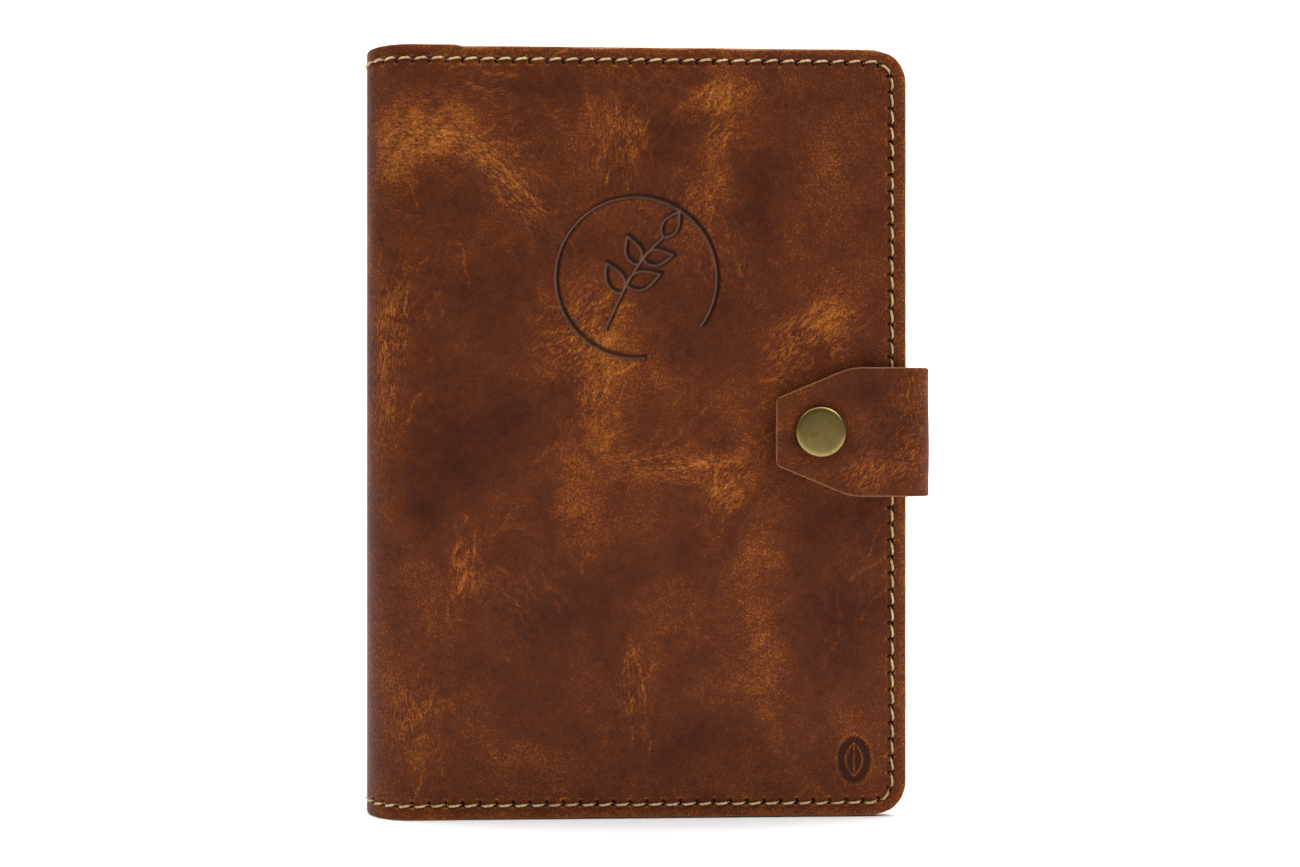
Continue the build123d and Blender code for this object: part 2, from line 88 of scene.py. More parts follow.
POCKET = 1.4  # thickness of the pocket's leather
CORNER = 10.5  # radius of the cover's corners
INSET = 4.2  # the seam's distance in from the cut edge
PITCH = 4.95  # length of a stitch
THREAD = 0.8

STRAP_LEATHER = 2.0
STRAP_LOW, STRAP_TOP = ends("strap_flap", UP)
TIP_X = low("strap_flap", ACROSS)
REACH_X = high("strap_side", ACROSS)
FLAP_Y = low("strap_flap", DEEP)  # outer face of the flap
BASE_Y = high("strap_base", DEEP)  # outer face of the base
BASE_X = low("strap_base", ACROSS)
BOX_LEFT, BOX_RIGHT = ends("strap_base_thread", ACROSS)
BOX_LOW, BOX_TOP = ends("strap_base_thread", UP)
TIP_HALF = 9.8  # half the width of the strap's blunt tip
TIP_SLOPE = 22.0  # length of the strap's clipped corners
TIP_ROUND = 2.0

CAP_X = sum(ends("snap_cap", ACROSS)) / 2
CAP_Z = sum(ends("snap_cap", UP)) / 2
CAP_RADIUS = (high("snap_cap", ACROSS) - low("snap_cap", ACROSS)) / 2
CAP_HEIGHT = FLAP_Y - low("snap_cap", DEEP)
POST_END = high("snap_cap", DEEP) - FLAP_Y

RING_CENTRE = (SPINE_X + 81.0, 159.7)
RING_RADIUS = 23.8
STAMP_CENTRE = (SPINE_X + 145.4, 16.8)
STAMP_HALF = (4.75, 6.75)
STAMP_LEAF = (0.52, 0.74)  # half-width and half-length, as shares of the oval's
GAP_MIDDLE, GAP_HALF = -60, 23  # where the ring is open, in degrees
LEAF_WIDTH = 0.26  # half-width of a leaf, as a share of its length
SPRIG_LEAVES = ((0.28, 118, 10), (0.34, 18, 10.5), (0.56, 112, 9), (0.62, 8, 9), (0.98, 58, 9))
FAR = 9.0  # a distance at which a mark no longer shows


# ---- small maths ----
def columns(*values):
    """Arrays of one shape side by side along a new last axis."""
    return np.stack(values, -1)


def smooth(start, end, value):
    """0 at start, 1 at end and an S between; start may be the larger one."""
    t = np.clip((value - start) / (end - start), 0, 1)
    return t * t * (3 - 2 * t)


def bell(value, width):
    """A bump of height 1 and half-width about width."""
    return np.exp(-(value / width) ** 2)


def waves(u, v, seed, lengths, count=8):
    """Smooth random relief, mostly between -1 and 1, from waves of the given lengths."""
    rng = np.random.default_rng(seed)
    total = np.zeros(np.shape(u))
    for _ in range(count):
        length = rng.uniform(*lengths)
        turn, drift, phase = rng.uniform(0, 2 * math.pi, 3)
        bend = 0.7 * np.sin((u * math.cos(drift) + v * math.sin(drift)) * 2.3 / length + 1.7 * phase)
        total += np.sin((u * math.cos(turn) + v * math.sin(turn)) * 2 * math.pi / length + phase + bend)
    return total / count ** 0.5 / 1.5


def spots(u, v, places):
    """Sum of soft oval spots, each (u, v, half-length, half-width, degrees, strength)."""
    total = np.zeros(np.shape(u))
    for spot_u, spot_v, long, wide, angle, strength in places:
        c, s = math.cos(math.radians(angle)), math.sin(math.radians(angle))
        a = ((u - spot_u) * c + (v - spot_v) * s) / long
        b = (-(u - spot_u) * s + (v - spot_v) * c) / wide
        total += strength * np.exp(-(a * a + b * b))
    return total


def line_distance(u, v, points):
    """Distance from a chain of straight runs."""
    nearest = np.full(np.shape(u), 1e9)
    for (u0, v0), (u1, v1) in zip(points[:-1], points[1:]):
        du, dv = u1 - u0, v1 - v0
        t = np.clip(((u - u0) * du + (v - v0) * dv) / (du * du + dv * dv), 0, 1)
        nearest = np.minimum(nearest, np.hypot(u - u0 - t * du, v - v0 - t * dv))
    return nearest


# ---- meshes ----
def make_mesh(name, points, faces, attributes=None):
    """A smooth-shaded mesh object from millimetre points and lists or arrays of faces."""
    mesh = bpy.data.meshes.new(name)
    polygons = [face for group in faces for face in np.asarray(group).tolist()]
    mesh.from_pydata((np.asarray(points) * MM).tolist(), [], polygons)
    for key, values in (attributes or {}).items():
        kind, field = ("FLOAT", "value") if np.ndim(values) == 1 else ("FLOAT_VECTOR", "vector")
        layer = mesh.attributes.new(key, kind, "POINT")
        layer.data.foreach_set(field, np.asarray(values, np.float32).ravel())
    mesh.polygons.foreach_set("use_smooth", np.ones(len(mesh.polygons), bool))
    mesh.update()
    obj = bpy.data.objects.new(name, mesh)
    bpy.context.scene.collection.objects.link(obj)
    return obj


def grid_quads(rows, cols, start=0):
    """Quads of a rows x cols grid of vertices."""
    r, c = np.meshgrid(np.arange(rows - 1), np.arange(cols - 1), indexing="ij")
    a = (start + r * cols + c).ravel()
    return columns(a, a + 1, a + cols + 1, a + cols)


def zipped(a, a_at, b, b_at):
    """Triangles between two chains of vertices that run side by side."""
    faces, i, j = [], 0, 0
    while i < len(a) - 1 or j < len(b) - 1:
        step_a = j == len(b) - 1 or (i < len(a) - 1 and a_at[i + 1] <= b_at[j + 1])
        faces.append([a[i], a[i + 1], b[j]] if step_a else [a[i], b[j + 1], b[j]])
        i, j = (i + 1, j) if step_a else (i, j + 1)
    return np.array(faces)


def turned_to(away, faces, points):
    """The same faces, turned so that each one's normal points along its own row of away."""
    a, b, c, last = (points[faces[:, k]] for k in (0, 1, 2, -1))
    normal = np.cross(b - a, last - a) + np.cross(b - a, c - a)
    wrong = np.einsum("ij,ij->i", normal, away) < 0
    return np.where(wrong[:, None], faces[:, ::-1], faces)


def facing(faces, points, outward):
    """The same faces, turned to outward at their first vertices."""
    return turned_to(outward[faces[:, 0]], faces, points)


def spread(pieces):
    """Places along a line from (start, stop, step, every) pieces, and which of them the middle keeps."""
    places, kept = [pieces[0][0]], [True]
    for start, stop, step, every in pieces:
        count = max(1, round((stop - start) / step / every)) * every
        places += list(np.linspace(start, stop, count + 1)[1:])
        kept += [k % every == 0 for k in range(1, count + 1)]
    return np.array(places), np.flatnonzero(kept)


def ring_quads(rings, sides):
    """Quads between closed rings of vertices that follow one another."""
    r, k = np.meshgrid(np.arange(rings - 1), np.arange(sides), indexing="ij")
    a, b = r * sides + k, r * sides + (k + 1) % sides
    return columns(a, a + sides, b + sides, b).reshape(-1, 4)


def tubes(centres, radii, sides):
    """Closed tubes: centres is (tube, ring, 3), radii is (tube, ring, side). Gives points and faces."""
    count, rings = centres.shape[:2]
    run = np.gradient(centres, axis=1)
    run /= np.linalg.norm(run, axis=-1, keepdims=True)
    helper = np.where(np.abs(run[..., 1:2]) < 0.9, [0.0, 1.0, 0.0], [1.0, 0.0, 0.0])
    side = np.cross(run, helper)
    side /= np.linalg.norm(side, axis=-1, keepdims=True)
    up = np.cross(side, run)
    angle = np.arange(sides) * 2 * math.pi / sides
    ring = np.cos(angle)[:, None] * side[:, :, None] + np.sin(angle)[:, None] * up[:, :, None]
    skin = centres[:, :, None] + ring * radii[..., None]
    start = (np.arange(count) * rings * sides)[:, None]
    quads = (start[..., None] + ring_quads(rings, sides)).reshape(-1, 4)
    caps = np.concatenate([start + np.arange(sides), start + (rings * sides - 1 - np.arange(sides))])
    return skin.reshape(-1, 3), [quads, caps]


def thread_mesh(name, ropes):
    """One mesh object from the points and faces of several ropes."""
    points, groups, total = [], [], 0
    for rope_points, rope_groups in ropes:
        points.append(rope_points)
        groups += [group + total for group in rope_groups]
        total += len(rope_points)
    points = np.concatenate(points)
    return make_mesh(name, points, groups, {"sheet": points})


def bend(obj, first_body, second_body, start, end):
    """Bakes a piece's transform into its mesh. The fold's two points, in millimetres, are not used."""
    start, end = (tuple(float(v) for v in point * MM) for point in (start, end))
    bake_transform(obj)


# ---- the panel: s along the leather from mid-spine, z up, n outwards ----
def wrap(s, z, n, face):
    """Panel coordinates to frame millimetres. face is -1 on the front half and 1 on the back half."""
    turn = np.minimum(s, ARC) / RADIUS
    out = RADIUS + n
    x = FLAT_X - out * np.cos(turn) + np.maximum(s - ARC, 0)
    return columns(x, MID_Y + face * out * np.sin(turn), z + 0 * x)


def outward_at(s, face):
    """Outward normal of the panel."""
    turn = np.minimum(s, ARC) / RADIUS
    return columns(-np.cos(turn), face * np.sin(turn), 0 * s)


def panel_s(x):
    """Distance along the leather of a frame x on the flat."""
    return ARC + x - FLAT_X


def edge_distance(s, z):
    """Distance in from the cut edge of the panel."""
    from_side = PANEL - s
    from_end = HEIGHT / 2 - np.abs(z - HEIGHT / 2)
    in_corner = (from_side < CORNER) & (from_end < CORNER)
    round_part = CORNER - np.hypot(CORNER - from_side, CORNER - from_end)
    return np.where(in_corner, round_part, np.minimum(from_side, from_end))


SEAM_SIDE = PANEL - CORNER  # where the seam starts to turn its corner
SEAM_ROUND = (CORNER - INSET) * math.pi / 2
SEAM_LENGTH = 2 * (SEAM_SIDE + SEAM_ROUND) + HEIGHT - 2 * CORNER


def seam_place(s, z):
    """Distance along the seam, from the lower end of mid-spine, and distance out from the seam."""
    z_low = np.minimum(z, HEIGHT - z)
    past, under = s - SEAM_SIDE, CORNER - z_low
    turn = np.arctan2(np.maximum(past, 0), np.maximum(under, 1e-9))
    start = np.minimum(s, SEAM_SIDE) + (CORNER - INSET) * turn
    along = np.where(z > HEIGHT / 2, SEAM_LENGTH - start, start)
    upright = (past > 0) & (under <= 0) & (PANEL - s < z_low)
    along = np.where(upright, SEAM_SIDE + SEAM_ROUND + z - CORNER, along)
    return along, INSET - edge_distance(s, z)


def seam_point(along, out):
    """Panel place (s, z) of a point on the seam, moved outwards."""
    upper = along > SEAM_LENGTH / 2
    start = np.where(upper, SEAM_LENGTH - along, along)
    turn = np.clip((start - SEAM_SIDE) / (CORNER - INSET), 0, math.pi / 2)
    rise = np.maximum(start - SEAM_SIDE - SEAM_ROUND, 0)
    reach = CORNER - INSET + out
    s = np.minimum(start, SEAM_SIDE) + reach * np.sin(turn)
    z = CORNER - reach * np.cos(turn) + rise
    return s, np.where(upper, HEIGHT - z, z)


def seam_holes():
    """Places of the awl holes along the seam, the same as in the frame's leather."""
    on_arc = 2 * round(math.pi / 4 * RADIUS / PITCH - 0.5) + 1
    arc = np.arange(on_arc) * ARC / on_arc
    flat = SEAM_LENGTH - 2 * ARC
    count = round(flat / PITCH)
    middle = ARC + flat * np.arange(count + 1) / count
    return np.concatenate([arc, middle, SEAM_LENGTH - arc[::-1]])


HOLES = seam_holes()
BAND = 9.0  # width of the fine strip along the cut edge
FAN = 6.0  # length of strip that turns each corner
LOW_FAN, TOP_FAN = BAND + FAN, HEIGHT - BAND - FAN


def cut_edge_place(run):
    """Place on the cut edge, at a distance along it from mid-spine."""
    turn = min(max((run - SEAM_SIDE) / CORNER, 0.0), math.pi / 2)
    rise = max(run - SEAM_SIDE - CORNER * math.pi / 2, 0.0)
    return min(run, SEAM_SIDE) + CORNER * math.sin(turn), CORNER * (1 - math.cos(turn)) + rise


def opposite(s, z):
    """Point of the cut edge opposite a point on the border of the panel's middle."""
    low_z = min(z, HEIGHT - z)
    half_turn = CORNER * math.pi / 4 + BAND + FAN - CORNER
    fan_start = PANEL - BAND - FAN
    if s < PANEL - BAND:  # along the lower or upper border
        run = s if s < fan_start else fan_start + (s - fan_start) * half_turn / FAN
    elif low_z < BAND + FAN:
        run = fan_start + half_turn * (1 + (low_z - BAND) / FAN)
    else:
        return PANEL, z
    edge_s, edge_z = cut_edge_place(run)
    return edge_s, edge_z if z < HEIGHT / 2 else HEIGHT - edge_z


def panel_sheet(s_pieces, z_pieces, edge_rows):
    """A sheet over the panel: fine strips along its cut edges round a coarser middle.

    Gives s and z, the faces, the chain of vertices on the cut edge and the chain down the left side."""
    fine_s, keep_s = spread(s_pieces)
    fine_z, keep_z = spread(z_pieces)
    bottom, top = fine_z[0], fine_z[-1]
    border = [(s, bottom) for s in fine_s] + [(fine_s[-1], z) for z in fine_z[1:]]
    border += [(s, top) for s in fine_s[::-1][1:]]
    cut = np.array([opposite(*place) for place in border])
    border = np.array(border)
    count = len(border)
    share = np.array(edge_rows)[:, None, None] / BAND
    strip = (cut * (1 - share) + border * share).reshape(-1, 2)
    across, up = fine_s[keep_s], fine_z[keep_z]
    middle = np.stack(np.meshgrid(across, up), -1).reshape(-1, 2)
    start, wide, tall = len(strip), len(across), len(up)
    loop = [start + c for c in range(wide)]
    loop += [start + r * wide + wide - 1 for r in range(1, tall)]
    loop += [start + (tall - 1) * wide + c for c in range(wide - 2, -1, -1)]
    corner_1, corner_2 = len(fine_s) - 1, len(fine_s) + len(fine_z) - 2
    loop_at = list(keep_s) + list(corner_1 + keep_z[1:]) + list(corner_2 + corner_1 - keep_s[::-1][1:])
    last_row = list(range(start - count, start))
    faces = [grid_quads(len(edge_rows), count), grid_quads(tall, wide, start),
             zipped(last_row, list(range(count)), loop, loop_at)]
    side = [r * count for r in range(len(edge_rows))] + [start + r * wide for r in range(tall)]
    side += [r * count + count - 1 for r in range(len(edge_rows) - 1, -1, -1)]
    points = np.concatenate([strip, middle])
    return points[:, 0], points[:, 1], faces, np.arange(count), np.array(side)


def edge_run(s, z):
    """Distance along the cut edge from the lower end of the left side."""
    z_low = np.minimum(z, HEIGHT - z)
    turn = np.arctan2(np.maximum(s - SEAM_SIDE, 0), np.maximum(CORNER - z_low, 1e-9))
    run = np.minimum(s, SEAM_SIDE) + CORNER * turn + np.maximum(z_low - CORNER, 0)
    whole = 2 * (SEAM_SIDE + CORNER * math.pi / 2) + HEIGHT - 2 * CORNER
    return np.where(z > HEIGHT / 2, whole - run, run)


def shell(name, face, outer, inner, wall, heights, paint):
    """Closed leather shell from an outer and an inner sheet.

    heights(s, z) gives the outer and the inner height n, wall the shares of the way between them where the
    cut edge has vertices, and paint(s, z, n, face) the attributes."""
    s1, z1, faces_1, rim_1, side_1 = outer
    s2, z2, faces_2, rim_2, side_2 = inner
    n1, n2 = heights(s1, z1)[0], heights(s2, z2)[1]
    s, z, n = [s1, s2], [z1, z2], [n1, n2]
    faces_2 = [group + len(s1) for group in faces_2]
    rim_2, side_2 = rim_2 + len(s1), side_2 + len(s1)
    total = len(s1) + len(s2)
    ring, first, last = rim_1, [rim_1[0]], [rim_1[-1]]
    walls = []
    bottom = heights(s1[rim_1], z1[rim_1])[1]
    for share in wall:
        new = total + np.arange(len(rim_1))
        s.append(s1[rim_1]), z.append(z1[rim_1])
        n.append(n1[rim_1] * (1 - share) + bottom * share)
        walls.append(columns(ring[:-1], ring[1:], new[1:], new[:-1]))
        ring, total = new, total + len(rim_1)
        first.append(new[0]), last.append(new[-1])
    s, z, n = (np.concatenate(v) for v in (s, z, n))
    walls.append(zipped(list(ring), list(edge_run(s[ring], z[ring])),
                        list(rim_2), list(edge_run(s[rim_2], z[rim_2]))))
    inner_side = first + list(side_2) + last[::-1]
    left = zipped(list(side_1[1:-1]), list(z[side_1[1:-1]]), inner_side, list(z[inner_side]))
    points, out = wrap(s, z, n, face), outward_at(s, face)
    up_down, zero = np.sign(z - HEIGHT / 2), 0 * s
    by_end, near_side = np.minimum(z, HEIGHT - z) < CORNER, s >= PANEL - CORNER
    beyond = columns(np.where(near_side, 1.0, 0.0), zero, np.where(near_side & ~by_end, 0.0, up_down))
    turn = np.minimum(s, ARC) / RADIUS
    spine_side = -columns(np.sin(turn), face * np.cos(turn), zero)
    groups = [facing(g, points, out) for g in faces_1] + [facing(g, points, -out) for g in faces_2]
    groups += [facing(g, points, beyond) for g in walls] + [facing(left, points, spine_side)]
    return make_mesh(name, points, groups, paint(s, z, n, face))


# ---- leather relief ----
def rounded(distance, wide, deep):
    """How far a face drops near a cut edge that is rubbed round."""
    t = np.clip(1 - distance / wide, 0, 1)
    return deep * (1 - np.sqrt(1 - 0.98 * t * t))


def seam_relief(s, z):
    """Height of the seam's groove and three-cornered awl pits, and how much each place is a pit or a lip. Pits
    get painted shade.
    """
    along, out = seam_place(s, z)
    off = np.abs(along[:, None] - HOLES[None]).min(axis=1)
    groove = 0.22 * bell(out, 0.75)
    inward = np.clip(1 + out / 1.6, 0, 1) ** 0.8
    pit = smooth(-0.12, 0.22, 0.82 * inward - off) * smooth(0.55, 0.15, out) * (out > -1.6)
    lip = bell(off, 0.85) * (bell(out + 1.8, 0.35) + 0.8 * bell(out - 0.75, 0.3))
    return -groove - 0.95 * pit + 0.10 * lip, pit, lip


def sprig_lines():
    """Stem and leaves of the sprig, as chains of points round the ring's centre."""
    t = np.linspace(0, 1, 15)
    stem = columns(-9 + 17 * t, -15 + 27 * t + 3.5 * np.sin(t * math.pi))
    lines = [stem]
    for at, angle, length in SPRIG_LEAVES:
        base = stem[round(at * 14)]
        c, s = math.cos(math.radians(angle)), math.sin(math.radians(angle))
        along = length * t
        wide = length * LEAF_WIDTH * np.sin(np.pi * t ** 0.8)
        for side in (-1, 1):
            lines.append(columns(base[0] + along * c - side * wide * s, base[1] + along * s + side * wide * c))
    return lines


def emblem_distance(u, v):
    """Distance from the open ring and the lines of its sprig."""
    angle = np.degrees(np.arctan2(v, u))
    gap = np.abs((angle - GAP_MIDDLE + 180) % 360 - 180) < GAP_HALF
    best = np.where(gap, FAR, np.abs(np.hypot(u, v) - RING_RADIUS))
    for line in sprig_lines():
        best = np.minimum(best, line_distance(u, v, line))
    return best


def pressed_relief(s, z):
    """The open ring with its sprig, and the oval stamp, pressed into the front.

    Gives the height and three masks: painted shade on a groove's shaded side and along its middle, and a darker
    sunk oval in the stamp; painted light on a groove's lit side; and the stamp's lighter rim and raised lines."""
    x = s - ARC + FLAT_X
    u, v = x - RING_CENTRE[0], z - RING_CENTRE[1]
    near = np.hypot(u, v) < RING_RADIUS + 4
    away, above, below = (np.full(len(s), FAR) for _ in range(3))
    # Shifted copies: painted shade on each groove's upper-right side, painted light on its lower-left, as if
    # lit from upper right.
    for distance, shift in ((away, 0), (above, -0.34), (below, 0.26)):
        distance[near] = emblem_distance(u[near] + shift, v[near] + shift)
    wide, (a, b) = STAMP_HALF[0], ((x - STAMP_CENTRE[0]) / STAMP_HALF[0], (z - STAMP_CENTRE[1]) / STAMP_HALF[1])
    oval_line = (np.hypot(a, b) - 1) * wide
    leaf = np.abs(a) - STAMP_LEAF[0] * (1 - (b / STAMP_LEAF[1]) ** 2)
    leaf_line = bell(leaf * wide, 0.34) * smooth(0.86, 0.72, np.abs(b))
    rib = bell(a * wide, 0.3) * smooth(0.72, 0.6, np.abs(b))
    raised, sunk = np.maximum(leaf_line, rib), smooth(0.25, -0.15, oval_line)
    lip = 0.10 * bell(away - 1.4, 0.5) + 0.08 * bell(oval_line - 0.7, 0.35)
    height = lip - 0.7 * smooth(0.85, 0.4, away) - 0.45 * sunk + 0.3 * raised * sunk
    # Painted shade on the groove's shaded side and middle, and a darker sunk oval in the stamp.
    dark = 1.5 * bell(above, 0.5) + 0.8 * bell(away, 0.85) + sunk * (0.85 - 0.7 * raised)
    light = 0.55 * bell(oval_line - 0.65, 0.35) + 0.9 * raised * sunk
    # bell(below, 0.28) is the painted light on each groove's lit side.
    return height, np.clip(dark, 0, 1), bell(below, 0.28), light


def worn_edge(s, z, face):
    """How far the outer leather's end stands short of the pocket's, where the two are sewn together."""
    doubled = smooth(panel_s(MOUTH_X) - 1.5, panel_s(MOUTH_X) + 1.5, s) * smooth(PANEL, PANEL - 9, s)
    wobble = waves(s, 0 * s + 3 * face, 41, (9, 40))
    short = (0.55 + 0.22 * wobble) * doubled
    upper = smooth(HEIGHT - 4, HEIGHT, z) * short
    lower = smooth(4, 0, z) * short * 0.6
    return z - upper + lower


def undulation(s, z, face):
    """Slow unevenness of leather that has been handled."""
    u = face * s
    calm = smooth(0, 14, s) * smooth(0, 8, edge_distance(s, z))
    return calm * (0.16 * waves(u, z, 7, (38, 90)) + 0.05 * waves(u, z, 8, (12, 26)))


def cover_heights(face):
    """Heights of the outer leather's two faces."""
    def heights(s, z):
        distance = edge_distance(s, z)
        seam = seam_relief(s, z)[0]
        outer = undulation(s, z, face) + seam - rounded(distance, 0.75, 0.6)
        if face < 0:
            outer = outer + pressed_relief(s, z)[0] + 0.05 * veins(s, z) * smooth(0, 14, s)
        inner = -LEATHER + rounded(distance, 0.5, 0.35)
        return outer, inner + 0 * s
    return heights


# ---- where the leather is pulled light or rubbed dark, and a painted shadow under the strap ----
# Each spot: distance along the leather from mid-spine, height, half-length, half-width, degrees, strength.
LIGHT_SPOTS = (
    (28, 203, 15.8, 8.8, 8, 0.50), (46, 193, 15.8, 4.5, -38, 0.36), (22, 196, 14.7, 7.5, 25, 0.22),
    (54, 197, 4.2, 3, 80, 0.16), (79, 205, 15.8, 5.6, -72, 0.22), (89, 200, 9.45, 2.5, 75, 0.20),
    (115, 213, 10.5, 6.2, 0, 0.40), (114, 199, 11.6, 5, 90, 0.26), (112, 186, 9.45, 6.2, 80, 0.14),
    (143, 145, 9.45, 6.2, 20, 0.30), (136, 133, 16.8, 7.5, 50, 0.12), (150, 152, 9.45, 5, 60, 0.14),
    (78, 118, 31.5, 6.9, 84, 0.36), (66, 136, 12.6, 5.6, 35, 0.22), (72, 148, 10.5, 10, 60, 0.16),
    (84, 136, 12.6, 7.5, 120, 0.12), (96, 131, 14.7, 5, -35, 0.12),
    (100, 104, 18.9, 3.5, 4, 0.30), (116, 97, 10.5, 5.2, 65, 0.46), (70, 93, 5.25, 5, 0, 0.18),
    (127, 54, 33, 6.2, 87, 0.26), (122, 77, 8.4, 3.8, 60, 0.20), (39, 76, 9.45, 4.2, 80, 0.22),
    (34, 60, 12.6, 6.2, 60, 0.10), (14, 133, 25.2, 5, 92, 0.22), (20, 152, 7.35, 6.2, 70, 0.26),
    (17, 120, 10.5, 3.8, 100, 0.18), (22, 28, 16.8, 7.5, 100, 0.16), (32, 34, 8.4, 6.2, 30, 0.16),
    (88, 35, 12.6, 3.8, 88, 0.10), (76, 46, 8.4, 3.8, 100, 0.08), (130, 28, 12.6, 5, 100, 0.16),
    (60, 176, 12.6, 3.8, -50, 0.12), (106, 176, 10.5, 5, 70, 0.16), (147, 190, 21, 5, 88, 0.12),
    (150, 118, 12.6, 7.5, 80, 0.10), (100, 60, 14.7, 7.5, 110, 0.10), (55, 18, 14.7, 5, 0, 0.10),
)
DARK_SPOTS = (
    (96, 196, 12, 8, 70, 0.26), (126, 181, 17, 7, 80, 0.32), (43, 154, 15, 12, 30, 0.26),
    (36, 182, 9, 6, -20, 0.26), (36, 109, 22, 15, 70, 0.34), (66, 58, 16, 14, 30, 0.28),
    (148, 60, 18, 12, 80, 0.36), (55, 118, 12, 10, 40, 0.26), (62, 215, 22, 4, 0, 0.30),
    (106, 84, 12, 8, 60, 0.16), (108, 150, 14, 12, 90, 0.22), (90, 73, 16, 8, 20, 0.18),
    # The spot at 150, 88 is a painted shadow: the shade that the strap's flap casts just below it.
    (106, 22, 20, 8, 10, 0.26), (150, 88, 12, 8, 0, 0.26), (144, 213, 14, 5, 0, 0.22),
    (28, 90, 10, 5, 90, 0.18), (50, 38, 12, 8, 0, 0.18), (158, 100, 30, 3, 90, 0.16),
    (88, 166, 10, 8, 0, 0.14), (10, 176, 12, 4, 90, 0.14), (64, 168, 9, 7, 90, 0.22),
)
# Wrinkled places, with the degrees that their wrinkles run along.
WRINKLES = (
    (26, 200, 17, 10, 8, 12), (48, 191, 17, 6, -38, -38), (20, 150, 12, 8, 80, 80),
    (85, 198, 16, 9, 85, 85), (114, 205, 12, 10, 60, 55), (137, 140, 18, 10, 45, 40),
    (75, 128, 26, 9, 80, 70), (68, 146, 14, 10, 35, 40), (114, 97, 14, 8, 60, 60),
    (98, 105, 16, 5, 0, 5), (39, 76, 12, 5, 80, 80), (14, 128, 30, 6, 90, 88),
    (88, 36, 14, 6, 88, 85), (24, 30, 16, 8, 90, 80),
    (98, 178, 14, 12, 60, 60), (60, 176, 14, 6, -50, -50), (150, 60, 20, 8, 70, 70),
    (58, 62, 14, 12, 130, 130), (120, 160, 12, 12, 100, 100), (45, 216, 18, 5, 0, 0),
)
CREASE_TURNS = (0, 45, 90, 135)  # directions that wrinkles are drawn in


def vein_lines():
    """Single long creases in the wrinkled places, as chains of points with a strength."""
    rng = np.random.default_rng(23)
    lines = []
    for spot_u, spot_v, long, wide, angle, heading in WRINKLES:
        c, s = math.cos(math.radians(angle)), math.sin(math.radians(angle))
        for _ in range(11):
            a, b = rng.normal(0, 0.6 * long), rng.normal(0, 0.8 * wide)
            turn = math.radians(heading + rng.normal(0, 16))
            t = np.linspace(0, 1, 8)
            turns = turn + rng.normal(0, 0.5) * t + 0.35 * np.sin(7 * t + rng.uniform(0, 6))
            step = rng.uniform(4, 14) / 7
            u = spot_u + a * c - b * s + np.cumsum(step * np.cos(turns))
            v = spot_v + a * s + b * c + np.cumsum(step * np.sin(turns))
            lines.append((columns(u, v), rng.uniform(0.4, 1)))
    return lines


VEINS = vein_lines()


def veins(s, z):
    """How much each place lies on a single crease."""
    total = np.zeros(len(s))
    for line, strength in VEINS:
        (u0, v0), (u1, v1) = line.min(axis=0) - 1.5, line.max(axis=0) + 1.5
        near = np.flatnonzero((s > u0) & (s < u1) & (z > v0) & (z < v1))
        total[near] = np.maximum(total[near], strength * bell(line_distance(s[near], z[near], line), 0.42))
    return total


def leather_tone(u, z, face):
    """Lightness of the leather: 0.5 is its usual brown."""
    s = face * u
    tone = 0.46 + 0.13 * waves(u, z, 11, (22, 60)) + 0.07 * waves(u, z, 12, (9, 20))
    if face < 0:
        near_s = s + 2.2 * waves(u, z, 14, (9, 22)) + 0.9 * waves(u, z, 15, (3, 7))
        near_z = z + 2.2 * waves(u, z, 16, (9, 22)) + 0.9 * waves(u, z, 17, (3, 7))
        uneven = 0.95 + 0.22 * waves(u, z, 18, (4, 11))
        pulled = 0.52 * np.tanh(1.25 * spots(near_s, near_z, LIGHT_SPOTS)) * uneven
        # DARK_SPOTS includes the strap's painted shadow besides darker patches.
        hand = 0.435 + 0.045 * waves(u, z, 13, (15, 45)) + pulled - 0.6 * spots(near_s, near_z, DARK_SPOTS)
        tone = tone + (hand + 0.02 + 0.2 * veins(s, z) - tone) * smooth(0, 16, s)
    return tone


def creased(u, v, places, turn, base, strength, side=1):
    """A mask that grows where wrinkles run along turn. side is -1 where headings are mirrored."""
    mask = np.full(len(u), base)
    for *spot, heading in places:
        near = max(0.0, math.cos(math.radians(2 * (side * heading - turn)))) ** 2
        mask += near * spots(u, v, ((*spot, strength),))
    return mask


def crease_masks(u, z, face):
    """How wrinkled the leather is along each of four directions."""
    masks, s = [], face * u
    for k, turn in enumerate(CREASE_TURNS):
        mask = 0.16 + 0.5 * smooth(0.35, 1.1, waves(u, z, 21 + k, (25, 70)))
        if face < 0:
            hand = creased(s, z, WRINKLES, turn, 0.10, 0.95, face)
            mask = mask + (hand - mask) * smooth(0, 16, s)
        masks.append(np.clip(mask, 0, 1))
    return masks


def paint_cover(s, z, n, face):
    """Attributes of the outer leather."""
    u, distance = face * s, edge_distance(s, z)
    _, pit, lip = seam_relief(s, z)
    dark, painted_groove_light, light = pressed_relief(s, z)[1:] if face < 0 else (0 * s, 0 * s, 0 * s)
    tone = leather_tone(u, z, face) + 0.30 * lip + 0.28 * light
    tone = tone + 0.16 * smooth(3.4, 0.6, distance) * smooth(0, 30, s)
    cut = smooth(0.55, 0.1, distance) * smooth(0.05, -0.3, n) + (n < -LEATHER * 0.9)
    # The dark mask is painted shade in the awl pits and the pressed grooves, and darkens the stamp's oval; the
    # mask after it is painted light on the grooves' lit side.
    values = {"sheet": columns(u, z, n), "tone": tone, "cut": np.clip(cut, 0, 1),
              "dark": np.clip(pit + dark, 0, 1), "painted_groove_light": painted_groove_light}
    values.update({f"crease_{turn}": mask for turn, mask in zip(CREASE_TURNS, crease_masks(u, z, face))})
    return values


